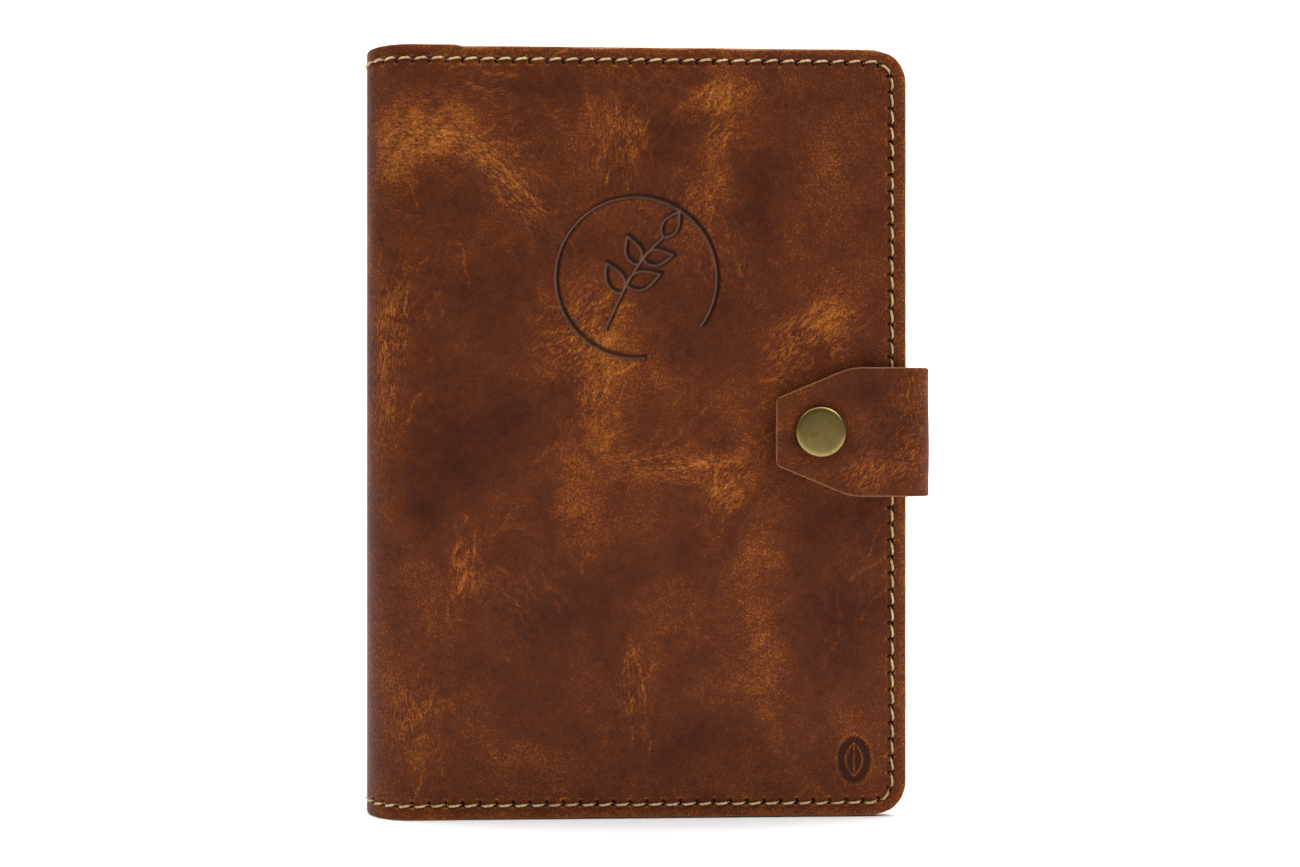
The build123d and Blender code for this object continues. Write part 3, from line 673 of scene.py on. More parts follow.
# ---- outer leather ----
# Distances in from the cut edge at which a strip has a row of vertices.
EDGE_ROWS = (0, 0.12, 0.3, 0.55, 0.85, 1.25, 1.8, 2.4, 2.85, 3.15, 3.4, 3.65, 3.9, 4.15, 4.4, 4.65,
             4.9, 5.15, 5.4, 5.65, 5.95, 6.4, 7.0, 7.7, 8.5)
PLAIN_ROWS = (0, 0.25, 0.6, 2.0, 4.0, 5.2, 5.8, 6.5, 8.0)
WALL = (0.15, 0.5, 0.85)  # shares of the way from the outer to the inner face
HALF_NAMES = {-1: "front", 1: "back"}
FOLD_REACH = 4.6  # how far the leather bends to each side of a fold


def fold_blend(obj, face):
    """Passes bend() the points either side of the fold: the front half's between the spine and the front, the
    back half's between the back and the spine.
    """
    near_spine, near_panel = wrap(ARC / 2 + FOLD_REACH * np.array([-1, 1]), HEIGHT / 2, 0.0, face)
    if face < 0:
        bend(obj, "spine", "front", near_spine, near_panel)
    else:
        bend(obj, "back", "spine", near_panel, near_spine)


def cover_half(face):
    """Outer leather from mid-spine to one fore-edge, with its seam pits and pressed marks."""
    last = PANEL - BAND
    ring_s, ring_z = panel_s(RING_CENTRE[0]), RING_CENTRE[1]
    reach = RING_RADIUS + 2
    plain, fine, corner = ((0.28, 2), (0.30, 1), 2) if face < 0 else ((0.33, 3), (0.33, 3), 4)
    stamp_s, stamp_z = panel_s(STAMP_CENTRE[0]) - STAMP_HALF[0] - 1.5, STAMP_CENTRE[1] + STAMP_HALF[1] + 1.5
    s_pieces = [(0, 0.1, 0.1, 1), (0.1, 0.35, 0.25, 1), (0.35, ring_s - reach, *plain),
                (ring_s - reach, ring_s + reach, *fine), (ring_s + reach, stamp_s, *plain),
                (stamp_s, last - FAN, *fine), (last - FAN, last, 0.15, corner)]
    z_pieces = [(BAND, LOW_FAN, 0.15, corner), (LOW_FAN, stamp_z, *fine), (stamp_z, ring_z - reach, *plain),
                (ring_z - reach, ring_z + reach, *fine), (ring_z + reach, TOP_FAN, *plain),
                (TOP_FAN, HEIGHT - BAND, 0.15, 4)]
    outer = panel_sheet(s_pieces, z_pieces, EDGE_ROWS)
    coarse_s = [(0, ARC, 1.2, 1), (ARC, last - FAN, 2.5, 1), (last - FAN, last, 0.6, 2)]
    coarse_z = [(BAND, LOW_FAN, 0.6, 2), (LOW_FAN, TOP_FAN, 2.5, 1), (TOP_FAN, HEIGHT - BAND, 0.6, 2)]
    inner = panel_sheet(coarse_s, coarse_z, PLAIN_ROWS)
    name = f"outer_leather_{HALF_NAMES[face]}"
    obj = shell(name, face, outer, inner, WALL, cover_heights(face), paint_cover)
    settle_edge(obj, face)
    fold_blend(obj, face)
    return obj


def settle_edge(obj, face):
    """Moves the ends of the outer leather to where wear has left them."""
    count = len(obj.data.vertices)
    sheet, co = np.zeros((2, count, 3), np.float32)
    obj.data.attributes["sheet"].data.foreach_get("vector", sheet.reshape(-1))
    obj.data.vertices.foreach_get("co", co.reshape(-1))
    s, z = np.abs(sheet[:, 0]), sheet[:, 1]
    co[:, 2] += (worn_edge(s, z, face) - z) * MM
    obj.data.vertices.foreach_set("co", co.ravel())
    obj.data.update()


# ---- pockets ----
POCKET_ROWS = (0, 0.25, 0.6, 1.6, 2.8, 3.6, 4.2, 4.8, 5.2, 5.5, 5.9, 6.3, 6.7, 7.0, 7.4, 8.0)
POCKET_WALL = (0.25, 0.75)


def pocket_heights(face):
    """Heights of a pocket's two faces: a sewn rim, and a tray that stands off over the board."""
    def heights(s, z):
        distance = edge_distance(s, z)
        lift = (TRAY - LEATHER - POCKET) * smooth(5.2, 7.2, distance)
        uneven = 0.1 * waves(s, z + 300 * face, 61, (18, 50)) * smooth(7, 12, distance)
        hidden = -LEATHER - lift + uneven - rounded(distance, 0.3, 0.2)
        _, out = seam_place(s, z)
        free = -LEATHER - POCKET - lift + uneven + rounded(distance, 0.5, 0.35) + 0.2 * bell(out, 0.8)
        return hidden, free
    return heights


def paint_pocket(s, z, n, face):
    """Attributes of a pocket."""
    distance = edge_distance(s, z)
    mouth = smooth(0.5, 0.1, s - panel_s(MOUTH_X))
    return {"sheet": columns(face * s, z, n), "tone": 0.5 + 0.12 * waves(s, z, 62, (12, 45)),
            "cut": np.clip(smooth(0.35, 0.05, distance) + mouth, 0, 1)}


def pocket(face):
    """Inner pocket, sewn in along three sides and open towards the spine."""
    mouth, last = panel_s(MOUTH_X), PANEL - BAND
    s_pieces = [(mouth, last - FAN, 0.7, 3), (last - FAN, last, 0.3, 5)]
    z_pieces = [(BAND, LOW_FAN, 0.3, 5), (LOW_FAN, TOP_FAN, 0.7, 3), (TOP_FAN, HEIGHT - BAND, 0.3, 5)]
    sheet = panel_sheet(s_pieces, z_pieces, POCKET_ROWS)
    name = f"{HALF_NAMES[face]}_pocket"
    obj = shell(name, face, sheet, sheet, POCKET_WALL, pocket_heights(face), paint_pocket)
    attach(obj, HALF_NAMES[face])
    return obj


# ---- thread ----
STITCH_RINGS, STITCH_SIDES = 21, 10
PLY_TURN = 3.1  # length over which the two plies turn once
DRAWN = 0.87  # the thread is drawn a little thinner than the frame's


def rope(place, starts, stops, seed, lean=0.33):
    """Two-ply stitches from hole to hole. place(along, out, rise) gives frame points.

    Each stitch leans across the seam, bows a little, and dives into the leather at both ends."""
    rng = np.random.default_rng(seed)
    t = np.linspace(0, 1, STITCH_RINGS)[None]
    count = len(starts)
    jitter = rng.uniform(-1, 1, (4, count, 1))
    along = starts[:, None] + (stops - starts)[:, None] * (0.03 + 0.94 * t)
    slant = lean * (1 + 0.35 * jitter[0])
    bow = np.sin(math.pi * t)
    out = slant * (1 - 2 * t) + 0.05 * jitter[1] + (0.05 + 0.06 * jitter[2]) * bow
    held = smooth(0.05, 0.30, t) * smooth(0.95, 0.70, t)
    rise = 0.08 + 0.05 * jitter[3] + 0.14 * bow - 1.35 * (1 - held)
    centres = place(along, out, rise)
    angle = np.arange(STITCH_SIDES) * 2 * math.pi / STITCH_SIDES
    twist = (along * 2 * math.pi / PLY_TURN)[..., None]
    radii = DRAWN * THREAD / 2 * (0.94 + 0.13 * np.cos(2 * (angle - twist))) * (0.8 + 0.2 * held)[..., None]
    return tubes(centres, radii, STITCH_SIDES)


def seam_thread(face):
    """Saddle-stitched seam of one half, on both faces of the leather."""
    def outside(along, out, rise):
        s, z = seam_point(along, out)
        n = rise + undulation(s.ravel(), z.ravel(), face).reshape(s.shape)
        return wrap(s, worn_edge(s, z, face), n, face)

    def inside(along, out, rise):
        s, z = seam_point(along, out)
        sewn = LEATHER + POCKET * (s > panel_s(MOUTH_X) - 1)
        return wrap(s, z, -sewn - 0.6 * rise, face)

    starts, stops = HOLES[:-1], HOLES[1:]
    ropes = rope(outside, starts, stops, 71 + face), rope(inside, starts, stops, 75 + face, -0.2)
    obj = thread_mesh(f"seam_thread_{HALF_NAMES[face]}", ropes)
    fold_blend(obj, face)
    return obj


def box_thread():
    """Box stitch that holds the strap's base on the back."""
    half = THREAD / 2
    corners = np.array([(BOX_LEFT + half, BOX_LOW + half), (BOX_RIGHT - half, BOX_LOW + half),
                        (BOX_RIGHT - half, BOX_TOP - half), (BOX_LEFT + half, BOX_TOP - half)])
    ropes = []
    for k in range(4):
        start = corners[k]
        side = corners[(k + 1) % 4] - start
        length = np.hypot(*side)
        run = side / length
        holes = np.linspace(0, length, round(length / PITCH) + 1)
        for depth, lift, seed in ((BASE_Y, 1, 81), (BACK_Y - LEATHER, -0.3, 85)):
            def place(along, out, rise):
                x, z = start[0] + run[0] * along + run[1] * out, start[1] + run[1] * along - run[0] * out
                return columns(x, depth + lift * rise + 0 * x, z)

            ropes.append(rope(place, holes[:-1], holes[1:], seed + k))
    obj = thread_mesh("strap_box_stitch", ropes)
    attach(obj, "back")
    return obj


# ---- strap: q along its middle line from the tip, w across, n outwards ----
HALF_LEATHER = STRAP_LEATHER / 2
STRAP_HALF = (STRAP_TOP - STRAP_LOW) / 2
STRAP_Z = (STRAP_TOP + STRAP_LOW) / 2
BEND = REACH_X - HALF_LEATHER - FORE_X
BEND_LENGTH = BEND * math.pi / 2
FRONT_BEND_Y = FLAP_Y + HALF_LEATHER + BEND
BACK_BEND_Y = BASE_Y - HALF_LEATHER - BEND
FLAP_LENGTH = FORE_X - TIP_X
SIDE_LENGTH = BACK_BEND_Y - FRONT_BEND_Y
BASE_LENGTH = FORE_X - BASE_X
SIDE_START = FLAP_LENGTH + BEND_LENGTH
SIDE_MIDDLE = SIDE_START + SIDE_LENGTH / 2
BASE_START = SIDE_START + SIDE_LENGTH + BEND_LENGTH
STRAP_LENGTH = BASE_START + BASE_LENGTH
SHEET_SHIFT = 500  # keeps the strap's grain apart from the cover's


def strap_point(q, w, n):
    """Strap coordinates to frame millimetres."""
    first = np.clip((q - FLAP_LENGTH) / BEND, 0, math.pi / 2)
    second = np.clip((q - SIDE_START - SIDE_LENGTH) / BEND, 0, math.pi / 2)
    turn = first + second
    normal_x, normal_y = np.sin(turn), -np.cos(turn)
    on_flap, on_base = np.minimum(q - FLAP_LENGTH, 0), np.maximum(q - BASE_START, 0)
    along_side = np.clip(q - SIDE_START, 0, SIDE_LENGTH)
    x = FORE_X + on_flap - on_base + (BEND + n) * normal_x
    y = FRONT_BEND_Y + along_side + (BEND + n) * normal_y
    return columns(x, y, STRAP_Z + w + 0 * x)


def strap_half_width(q):
    """Half the strap's width: clipped corners at the tip, a little rounded."""
    slope = math.atan((STRAP_HALF - TIP_HALF) / TIP_SLOPE)
    centre = TIP_HALF + TIP_ROUND * math.tan(slope) - TIP_ROUND / math.cos(slope)
    turn_at = TIP_ROUND * (1 - math.sin(slope))
    arc = centre + np.sqrt(np.maximum(TIP_ROUND ** 2 - (TIP_ROUND - np.minimum(q, turn_at)) ** 2, 0))
    slant = TIP_HALF + q * math.tan(slope)
    blunt = STRAP_HALF - 0.5 * np.log(1 + np.exp((STRAP_HALF - slant) / 0.5))
    straight = np.where(q < TIP_SLOPE - 6, slant, np.minimum(blunt + 0.02, STRAP_HALF))
    return np.where(q < turn_at, arc, straight)


def strap_relief(q, w):
    """Outer face of the strap: slow unevenness, a few wrinkles at the tip and the seat of the cap."""
    uneven = 0.10 * waves(q, w, 91, (16, 40)) + 0.03 * waves(q, w, 92, (5, 9))
    across = q - (CAP_X - TIP_X)
    seat = np.hypot(across, w)
    pinch = 0.10 * np.sin(w * 2.4 + 1.3 * np.sin(q)) * smooth(9, 2, q) * smooth(8, 3, np.abs(w + 2))
    return uneven - 0.25 * smooth(CAP_RADIUS + 2.2, CAP_RADIUS - 0.4, seat) + pinch


STRAP_LIGHT = (
    (4, 1, 7, 2.0, 0, 0.30), (5, -6, 7, 2.5, -20, 0.14), (24, -12, 14, 5, 28, 0.20),
    (36, -9, 10, 5, 50, 0.14), (31, 6, 9, 3, 60, 0.16), (38, 10, 10, 4, 90, 0.12), (10, 12, 8, 2, 20, 0.10),
    (13, -12, 10, 2.0, -18, 0.14), (58, 2, 16, 8, 90, 0.12),
)
STRAP_DARK = (
    (26, 12, 10, 5, 0, 0.20), (6, -2.5, 5, 2, 0, 0.16), (20, -4, 9, 4, 0, 0.12), (44, -3, 16, 6, 90, 0.10),
)
STRAP_WRINKLES = (
    (4, -1, 8, 6, 0, 0), (26, -11, 16, 8, 30, 40), (36, -6, 12, 9, 45, 45), (38, 8, 12, 6, 90, 90),
    (30, 7, 10, 6, 60, 60), (60, 0, 20, 16, 90, 90), (100, 0, 30, 14, 0, 0),
)


def paint_strap(q, w, n, cut):
    """Attributes of the strap. Its underside and cut edges are raw."""
    tone = 0.43 + 0.06 * waves(q, w, 95, (9, 30)) + 0.45 * spots(q, w, STRAP_LIGHT) - spots(q, w, STRAP_DARK)
    tone += 0.10 * smooth(FLAP_LENGTH - 6, FLAP_LENGTH + 3, q) * smooth(SIDE_START + 6, SIDE_START, q)
    values = {"sheet": columns(q + SHEET_SHIFT, w, n), "tone": tone, "cut": cut, "dark": 0 * q}
    for turn in CREASE_TURNS:
        values[f"crease_{turn}"] = np.clip(creased(q, w, STRAP_WRINKLES, turn, 0.14, 0.8), 0, 1)
    return values


def strap_rows(start, end):
    """Places along the strap, closer together at its ends and at the cut in its side."""
    near_tip = TIP_ROUND * (1 - np.cos(np.linspace(0, math.pi / 3, 9)))
    rows = np.linspace(start, end, max(2, round((end - start) / 0.45)))
    if start == 0:
        rows = np.concatenate([near_tip, rows[rows > near_tip[-1] + 0.2]])
    if end == STRAP_LENGTH:
        rows = np.concatenate([rows[rows < end - 1.2], end - np.array([0.9, 0.6, 0.35, 0.15, 0])])
    by_cut = np.array([0, 0.1, 0.3]) if start == SIDE_MIDDLE else -np.array([0.3, 0.1, 0])
    return np.sort(np.concatenate([rows[np.abs(rows - SIDE_MIDDLE) > 0.5], SIDE_MIDDLE + by_cut]))


def strap_columns():
    """Places across the strap from -1 to 1, closer together at its edges."""
    places = np.linspace(-1, 1, 97)
    places = places + 0.012 * np.sin(math.pi * places)
    places = np.sign(places) * np.minimum(np.abs(places), 1)
    near_side = 1 - np.array([0, 0.012, 0.03, 0.05])
    return np.unique(np.concatenate([places[np.abs(places) < 0.94], near_side, -near_side]))


def strap_part(name, start, end):
    """Closed shell of one stretch of the strap."""
    q_line, v_line = strap_rows(start, end), strap_columns()
    rows, cols = len(q_line), len(v_line)
    q, v = (grid.ravel() for grid in np.meshgrid(q_line, v_line, indexing="ij"))
    half = strap_half_width(q)
    w = v * half
    from_end = np.minimum(q if start == 0 else FAR, STRAP_LENGTH - q if end == STRAP_LENGTH else FAR)
    distance = np.minimum(half - np.abs(w), np.where(np.abs(v) < 0.97, from_end, FAR))
    outer = HALF_LEATHER + strap_relief(q, w) - rounded(distance, 0.6, 0.5)
    inner = -HALF_LEATHER + rounded(distance, 0.4, 0.3)
    quads = grid_quads(rows, cols)
    loop = np.concatenate([np.arange(cols), np.arange(1, rows) * cols + cols - 1,
                           (rows - 1) * cols + np.arange(cols - 2, -1, -1),
                           np.arange(rows - 2, -1, -1) * cols])
    all_q, all_w, all_n = [q, q], [w, w], [outer, inner]
    all_cut = [smooth(0.35, 0.0, distance), np.ones(len(q))]
    rings = [loop]
    for k, share in enumerate((0.2, 0.5, 0.8)):
        rings.append(2 * rows * cols + k * len(loop) + np.arange(len(loop)))
        all_q.append(q[loop]), all_w.append(w[loop])
        all_n.append(outer[loop] * (1 - share) + inner[loop] * share)
        all_cut.append(np.ones(len(loop)))
    rings.append(loop + rows * cols)
    walls = [columns(a[:-1], a[1:], b[1:], b[:-1]) for a, b in zip(rings[:-1], rings[1:])]
    q, w, n, cut = (np.concatenate(v) for v in (all_q, all_w, all_n, all_cut))
    points = strap_point(q, w, n)
    outward = strap_point(q, w, n + 1) - points
    groups = [facing(quads, points, outward), facing(quads + rows * cols, points, -outward)]
    groups += [wall_facing(g, points, q, w) for g in walls]
    return make_mesh(name, points, groups, paint_strap(q, w, n, cut))


def wall_facing(faces, points, q, w):
    """Wall faces of a strap part, turned to look away from its middle."""
    half_length = (q.max() - q.min()) / 2
    q_out, w_out = (q - (q.min() + q.max()) / 2)[faces], w[faces].mean(axis=1)
    run = strap_point(q + 0.01, w, 0 * q) - strap_point(q, w, 0 * q)
    run /= np.linalg.norm(run, axis=-1, keepdims=True)
    at_end = np.abs(q_out).min(axis=1) > half_length - 1e-6
    away = np.where(at_end[:, None], run[faces[:, 0]] * np.sign(q_out.mean(axis=1))[:, None],
                    np.array([0, 0, 1.0]) * np.sign(w_out)[:, None])
    return turned_to(away, faces, points)


def strap(name, start, end, fold, bodies):
    """One stretch of the strap, bent over the fold whose middle is given."""
    obj = strap_part(name, start, end)
    reach = BEND_LENGTH / 2 + 1
    bend(obj, *bodies, *strap_point(fold + reach * np.array([1, -1]), 0.0, 0.0))
    return obj


# ---- snap cap ----
def snap_cap(segments=128):
    """Domed cap with rounded shoulders, a thin rolled rim, and its post, turned about one axis."""
    r, h = CAP_RADIUS, CAP_HEIGHT
    dome = [(0, h), (2.0, h - 0.006), (4.0, h - 0.02), (5.4, h - 0.045), (6.2, h - 0.085), (6.7, h - 0.15),
            (7.0, h - 0.25), (7.2, h - 0.4), (7.33, h - 0.6), (7.42, h - 0.85)]
    rim = [(r - 0.02, 0.75), (r, 0.5), (r, 0.3), (r - 0.04, 0.12), (r - 0.16, 0.0)]
    post = [(1.8, 0.0), (1.75, -0.1), (1.75, 0.4 - POST_END), (2.1, 0.3 - POST_END), (2.35, 0.15 - POST_END),
            (2.25, 0.02 - POST_END), (1.2, -POST_END), (0, -POST_END)]
    radius, height = np.array(dome + rim + post).T[..., None]
    turn = np.arange(segments) * 2 * math.pi / segments
    x, z = CAP_X + radius * np.cos(turn), CAP_Z + radius * np.sin(turn)
    rings = columns(x, FLAP_Y - height + 0 * turn, z)
    points = np.concatenate([rings[1:-1].reshape(-1, 3), rings[[0, -1], 0]])
    rows, k = len(rings) - 2, np.arange(segments)
    top, bottom, last = rows * segments, rows * segments + 1, (rows - 1) * segments
    fans = [columns(0 * k + top, k, (k + 1) % segments),
            columns(0 * k + bottom, last + (k + 1) % segments, last + k)]
    obj = make_mesh("snap_cap_antique", points, [ring_quads(rows, segments), *fans])
    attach(obj, "strap_flap")
    return obj


# ---- loose fibres on raw cut edges ----
def fibres(name, roots, lean, body, seed, lengths=(0.3, 1.25)):
    """Short curved hairs standing on a cut edge. lean is the way each one points, with some scatter."""
    rng = np.random.default_rng(seed)
    count = len(roots)
    length = rng.uniform(0, 1, (count, 1)) ** 2 * (lengths[1] - lengths[0]) + lengths[0]
    heading = lean + rng.normal(0, 0.55, (count, 3))
    heading /= np.linalg.norm(heading, axis=-1, keepdims=True)
    curl = rng.normal(0, 0.5, (count, 3))
    t = np.array([-0.25, 0.3, 0.65, 1.0])[None, :, None]
    centres = roots[:, None] + length[:, None] * (heading[:, None] * t + curl[:, None] * t * t * 0.6)
    radii = 0.042 * (1 - 0.7 * np.clip(t[..., 0], 0, 1))[..., None] + np.zeros((count, 4, 3))
    points, groups = tubes(centres, radii, 3)
    obj = make_mesh(name, points, groups)
    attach(obj, body)
    return obj


def edge_fibres(face):
    """Fibres along the pocket's and the cover's raw ends."""
    rng = np.random.default_rng(101 + face)
    roots, leans = [], []
    whole = float(edge_run(np.array([0.0]), np.array([HEIGHT]))[0])
    flat = panel_s(MOUTH_X) + 2
    pocket_edge = 1000, -LEATHER - POCKET + 0.2, -LEATHER - 0.1
    cover_edge = 520, -LEATHER + 0.4, -0.5
    for count, deepest, highest in (pocket_edge, cover_edge):
        clump = np.cumsum(rng.exponential(1.0, count) ** 2)
        run = flat + (whole - 2 * flat) * clump / clump[-1]
        upper = run > whole / 2
        place = np.array([cut_edge_place(min(r, whole - r)) for r in run])
        s, z = place[:, 0], np.where(upper, HEIGHT - place[:, 1], place[:, 1])
        n = rng.uniform(deepest, highest, count)
        if highest > -LEATHER:
            z = worn_edge(s, z, face)
        roots.append(wrap(s, z, n, face))
        turn = np.clip((np.minimum(run, whole - run) - SEAM_SIDE) / CORNER, 0, math.pi / 2)
        leans.append(columns(np.sin(turn), 0 * s, -np.cos(turn) * np.where(upper, -1, 1)))
    roots, leans = np.concatenate(roots), np.concatenate(leans)
    standing = roots[:, 2] > 1
    name, body = f"{HALF_NAMES[face]}_edge_fibres", HALF_NAMES[face]
    return fibres(name, roots[standing], leans[standing], body, 103 + face)


def strap_fibres():
    """Fibres along the flap's raw edges, thickest at the tip."""
    rng = np.random.default_rng(107)
    at_tip, at_sides = 90, 240
    depths = (-HALF_LEATHER, 0.3)
    tip_w = rng.uniform(-TIP_HALF + 1, TIP_HALF - 1, at_tip)
    roots = [strap_point(0 * tip_w + 0.02, tip_w, rng.uniform(*depths, at_tip))]
    leans = [np.tile([-1.0, 0, 0], (at_tip, 1))]
    q = rng.uniform(1, FLAP_LENGTH, at_sides)
    side = rng.choice([-1.0, 1.0], at_sides)
    roots.append(strap_point(q, side * (strap_half_width(q) - 0.05), rng.uniform(*depths, at_sides)))
    leans.append(columns(-0.3 + 0 * q, 0 * q, side))
    roots, leans = np.concatenate(roots), np.concatenate(leans)
    return fibres("strap_edge_fibres", roots, leans, "strap_flap", 109, (0.2, 0.6))


# ---- materials ----
def linear(red, green, blue):
    """Screen colour 0-255 to linear RGBA."""
    out = [v / 255 / 12.92 if v <= 10 else ((v / 255 + 0.055) / 1.055) ** 2.4 for v in (red, green, blue)]
    return (*out, 1.0)


class Finish:
    """One procedural material, built a node at a time. Lengths are in millimetres."""

    def __init__(self, name, **values):
        self.material = bpy.data.materials.new(name)
        self.material.use_nodes = True
        self.nodes, self.links = self.material.node_tree.nodes, self.material.node_tree.links
        self.shader = self.nodes["Principled BSDF"]
        self.fill(self.shader, **values)

    def fill(self, node, **values):
        """Feeds a node's sockets by name, with _ for a space."""
        for key, value in values.items():
            self.feed(node.inputs[key.replace("_", " ")], value)
        return node

    def add(self, kind, **settings):
        node = self.nodes.new(f"ShaderNode{kind}")
        for key, value in settings.items():
            setattr(node, key, value)
        return node

    def feed(self, socket, value):
        if isinstance(value, bpy.types.NodeSocket):
            self.links.new(value, socket)
        else:
            socket.default_value = value

    def attribute(self, name, field="Fac"):
        return self.add("Attribute", attribute_name=name).outputs[field]

    def object_place(self):
        """Place on the object in millimetres."""
        place = self.add("TexCoord").outputs["Object"]
        return self.fill(self.add("Mapping"), Vector=place, Scale=(1 / MM, 1 / MM, 1 / MM)).outputs[0]

    def moved(self, vector, turn, scale, shift=(0, 0, 0)):
        node = self.add("Mapping", vector_type="TEXTURE")
        turn = (0, 0, math.radians(turn))
        return self.fill(node, Vector=vector, Rotation=turn, Scale=scale, Location=shift).outputs[0]

    def noise(self, vector, size, detail=2.0, rough=0.5, out="Fac"):
        node = self.add("TexNoise")
        return self.fill(node, Vector=vector, Scale=1 / size, Detail=detail, Roughness=rough).outputs[out]

    def cells(self, vector, size, feature="F1"):
        node = self.add("TexVoronoi", feature=feature)
        return self.fill(node, Vector=vector, Scale=1 / size).outputs["Distance"]

    def bands(self, vector, direction, scale, warp=0.0):
        node = self.add("TexWave", wave_type="BANDS", bands_direction=direction)
        return self.fill(node, Vector=vector, Scale=scale, Distortion=warp).outputs["Fac"]

    def math(self, operation, a, b):
        node = self.add("Math", operation=operation)
        self.feed(node.inputs[0], a)
        self.feed(node.inputs[1], b)
        return node.outputs[0]

    def plus(self, *values):
        total = values[0]
        for value in values[1:]:
            total = self.math("ADD", total, value)
        return total

    def times(self, a, b):
        return self.math("MULTIPLY", a, b)

    def centred(self, value, share, middle=0.5):
        """A value's distance from its middle, times a share."""
        return self.times(self.math("SUBTRACT", value, middle), share)

    def spread(self, value, low_in, high_in, low_out=0.0, high_out=1.0):
        node = self.add("MapRange", interpolation_type="SMOOTHSTEP")
        self.fill(node, Value=value, From_Min=low_in, From_Max=high_in, To_Min=low_out, To_Max=high_out)
        return node.outputs[0]

    def colours(self, value, *stops):
        node = self.add("ValToRGB")
        ramp = node.color_ramp
        for _ in range(len(stops) - 2):
            ramp.elements.new(0.5)
        for element, (place, colour) in zip(ramp.elements, stops):
            element.position, element.color = place, linear(*colour)
        self.feed(node.inputs[0], value)
        return node.outputs[0]

    def mix(self, share, a, b):
        """From colour a to colour b as share goes from 0 to 1."""
        node = self.add("Mix", data_type="RGBA")
        for socket, value in zip((node.inputs["Factor"], node.inputs[6], node.inputs[7]), (share, a, b)):
            self.feed(socket, value)
        return node.outputs[2]

    def mix_value(self, share, a, b):
        """From value a to value b as share goes from 0 to 1."""
        node = self.add("Mix", data_type="FLOAT")
        for socket, value in zip(node.inputs[:1] + node.inputs[2:4], (share, a, b)):
            self.feed(socket, value)
        return node.outputs[0]

    def surface(self, colour, bump=None, depth=0.0, **values):
        """Sets the shader. bump is a 0-1 height that stands for a depth in millimetres. Gives the material."""
        if bump is not None:
            node = self.fill(self.add("Bump"), Strength=1.0, Distance=depth * MM, Height=bump)
            values["Normal"] = node.outputs[0]
        self.fill(self.shader, Base_Color=colour, **values)
        return self.material


def grain_leather():
    """Waxed pull-up leather: dark where full of wax, orange where pulled, raw when cut; painted shade and light
    in its marks.
    """
    f = Finish("pull_up_leather", Specular_IOR_Level=0.10)
    place = f.attribute("sheet", "Vector")
    tone, cut, dark = f.attribute("tone"), f.attribute("cut"), f.attribute("dark")
    scaled = f.add("VectorMath", operation="SCALE")
    f.feed(scaled.inputs[0], f.noise(place, 5.0, 3, out="Color"))
    scaled.inputs["Scale"].default_value = 3.0
    warped = f.add("VectorMath", operation="ADD")
    f.feed(warped.inputs[0], place)
    f.feed(warped.inputs[1], scaled.outputs[0])
    bent = warped.outputs[0]
    creases, wrinkled = None, None
    for turn in CREASE_TURNS:
        long = f.moved(bent, turn, (4.4, 1, 2), (7.3 * turn, 0, 0))
        cracks = f.spread(f.cells(long, 0.85, "DISTANCE_TO_EDGE"), 0.0, 0.2)
        folds = f.mix_value(0.35, cracks, f.spread(f.noise(long, 0.9, 2.5, 0.6), 0.34, 0.62))
        mask = f.attribute(f"crease_{turn}")
        part = f.centred(folds, mask, 0.66)
        creases = part if creases is None else f.plus(creases, part)
        wrinkled = mask if wrinkled is None else f.math("MAXIMUM", wrinkled, mask)
    pebbles = f.spread(f.cells(bent, 0.8), 0.10, 0.62, 1.0, 0.0)
    unwrinkled = f.math("SUBTRACT", 1.0, wrinkled)
    relief = f.plus(creases, f.centred(pebbles, f.plus(f.times(unwrinkled, 0.45), 0.15)))
    speckle = f.noise(place, 0.42, 3, 0.7)
    mottle = f.noise(bent, 2.6, 4, 0.65)
    blotch = f.noise(place, 11.0, 4, 0.6)
    fine = f.plus(f.centred(speckle, 0.9), f.times(relief, 0.38))
    fine = f.times(fine, f.spread(tone, 0.25, 0.65, 0.40, 1.0))
    broad = f.plus(f.centred(mottle, 0.34), f.centred(blotch, 0.34))
    grain = f.colours(f.plus(tone, fine, broad), (0.0, (44, 15, 4)), (0.25, (70, 29, 9)), (0.47, (93, 43, 16)),
                      (0.66, (130, 69, 22)), (0.86, (166, 98, 34)), (1.0, (192, 124, 52)))
    # Painted shade: near-black in the awl pits and the pressed grooves.
    grain = f.mix(f.times(dark, 0.82), grain, linear(28, 10, 5))
    # Painted light: pale taupe on the lit side of each pressed groove.
    grain = f.mix(f.times(f.attribute("painted_groove_light"), 0.62), grain, linear(146, 106, 84))
    fuzz = f.noise(place, 0.5, 3, 0.7)
    raw = f.colours(fuzz, (0.3, (118, 74, 46)), (0.55, (158, 112, 76)), (0.75, (190, 148, 108)))
    rough = f.plus(0.50, f.centred(mottle, 0.25), f.times(relief, -0.08))
    return f.surface(f.mix(cut, grain, raw), f.plus(relief, f.times(speckle, 0.25)), 0.22,
                     Roughness=f.mix_value(cut, rough, 0.9))


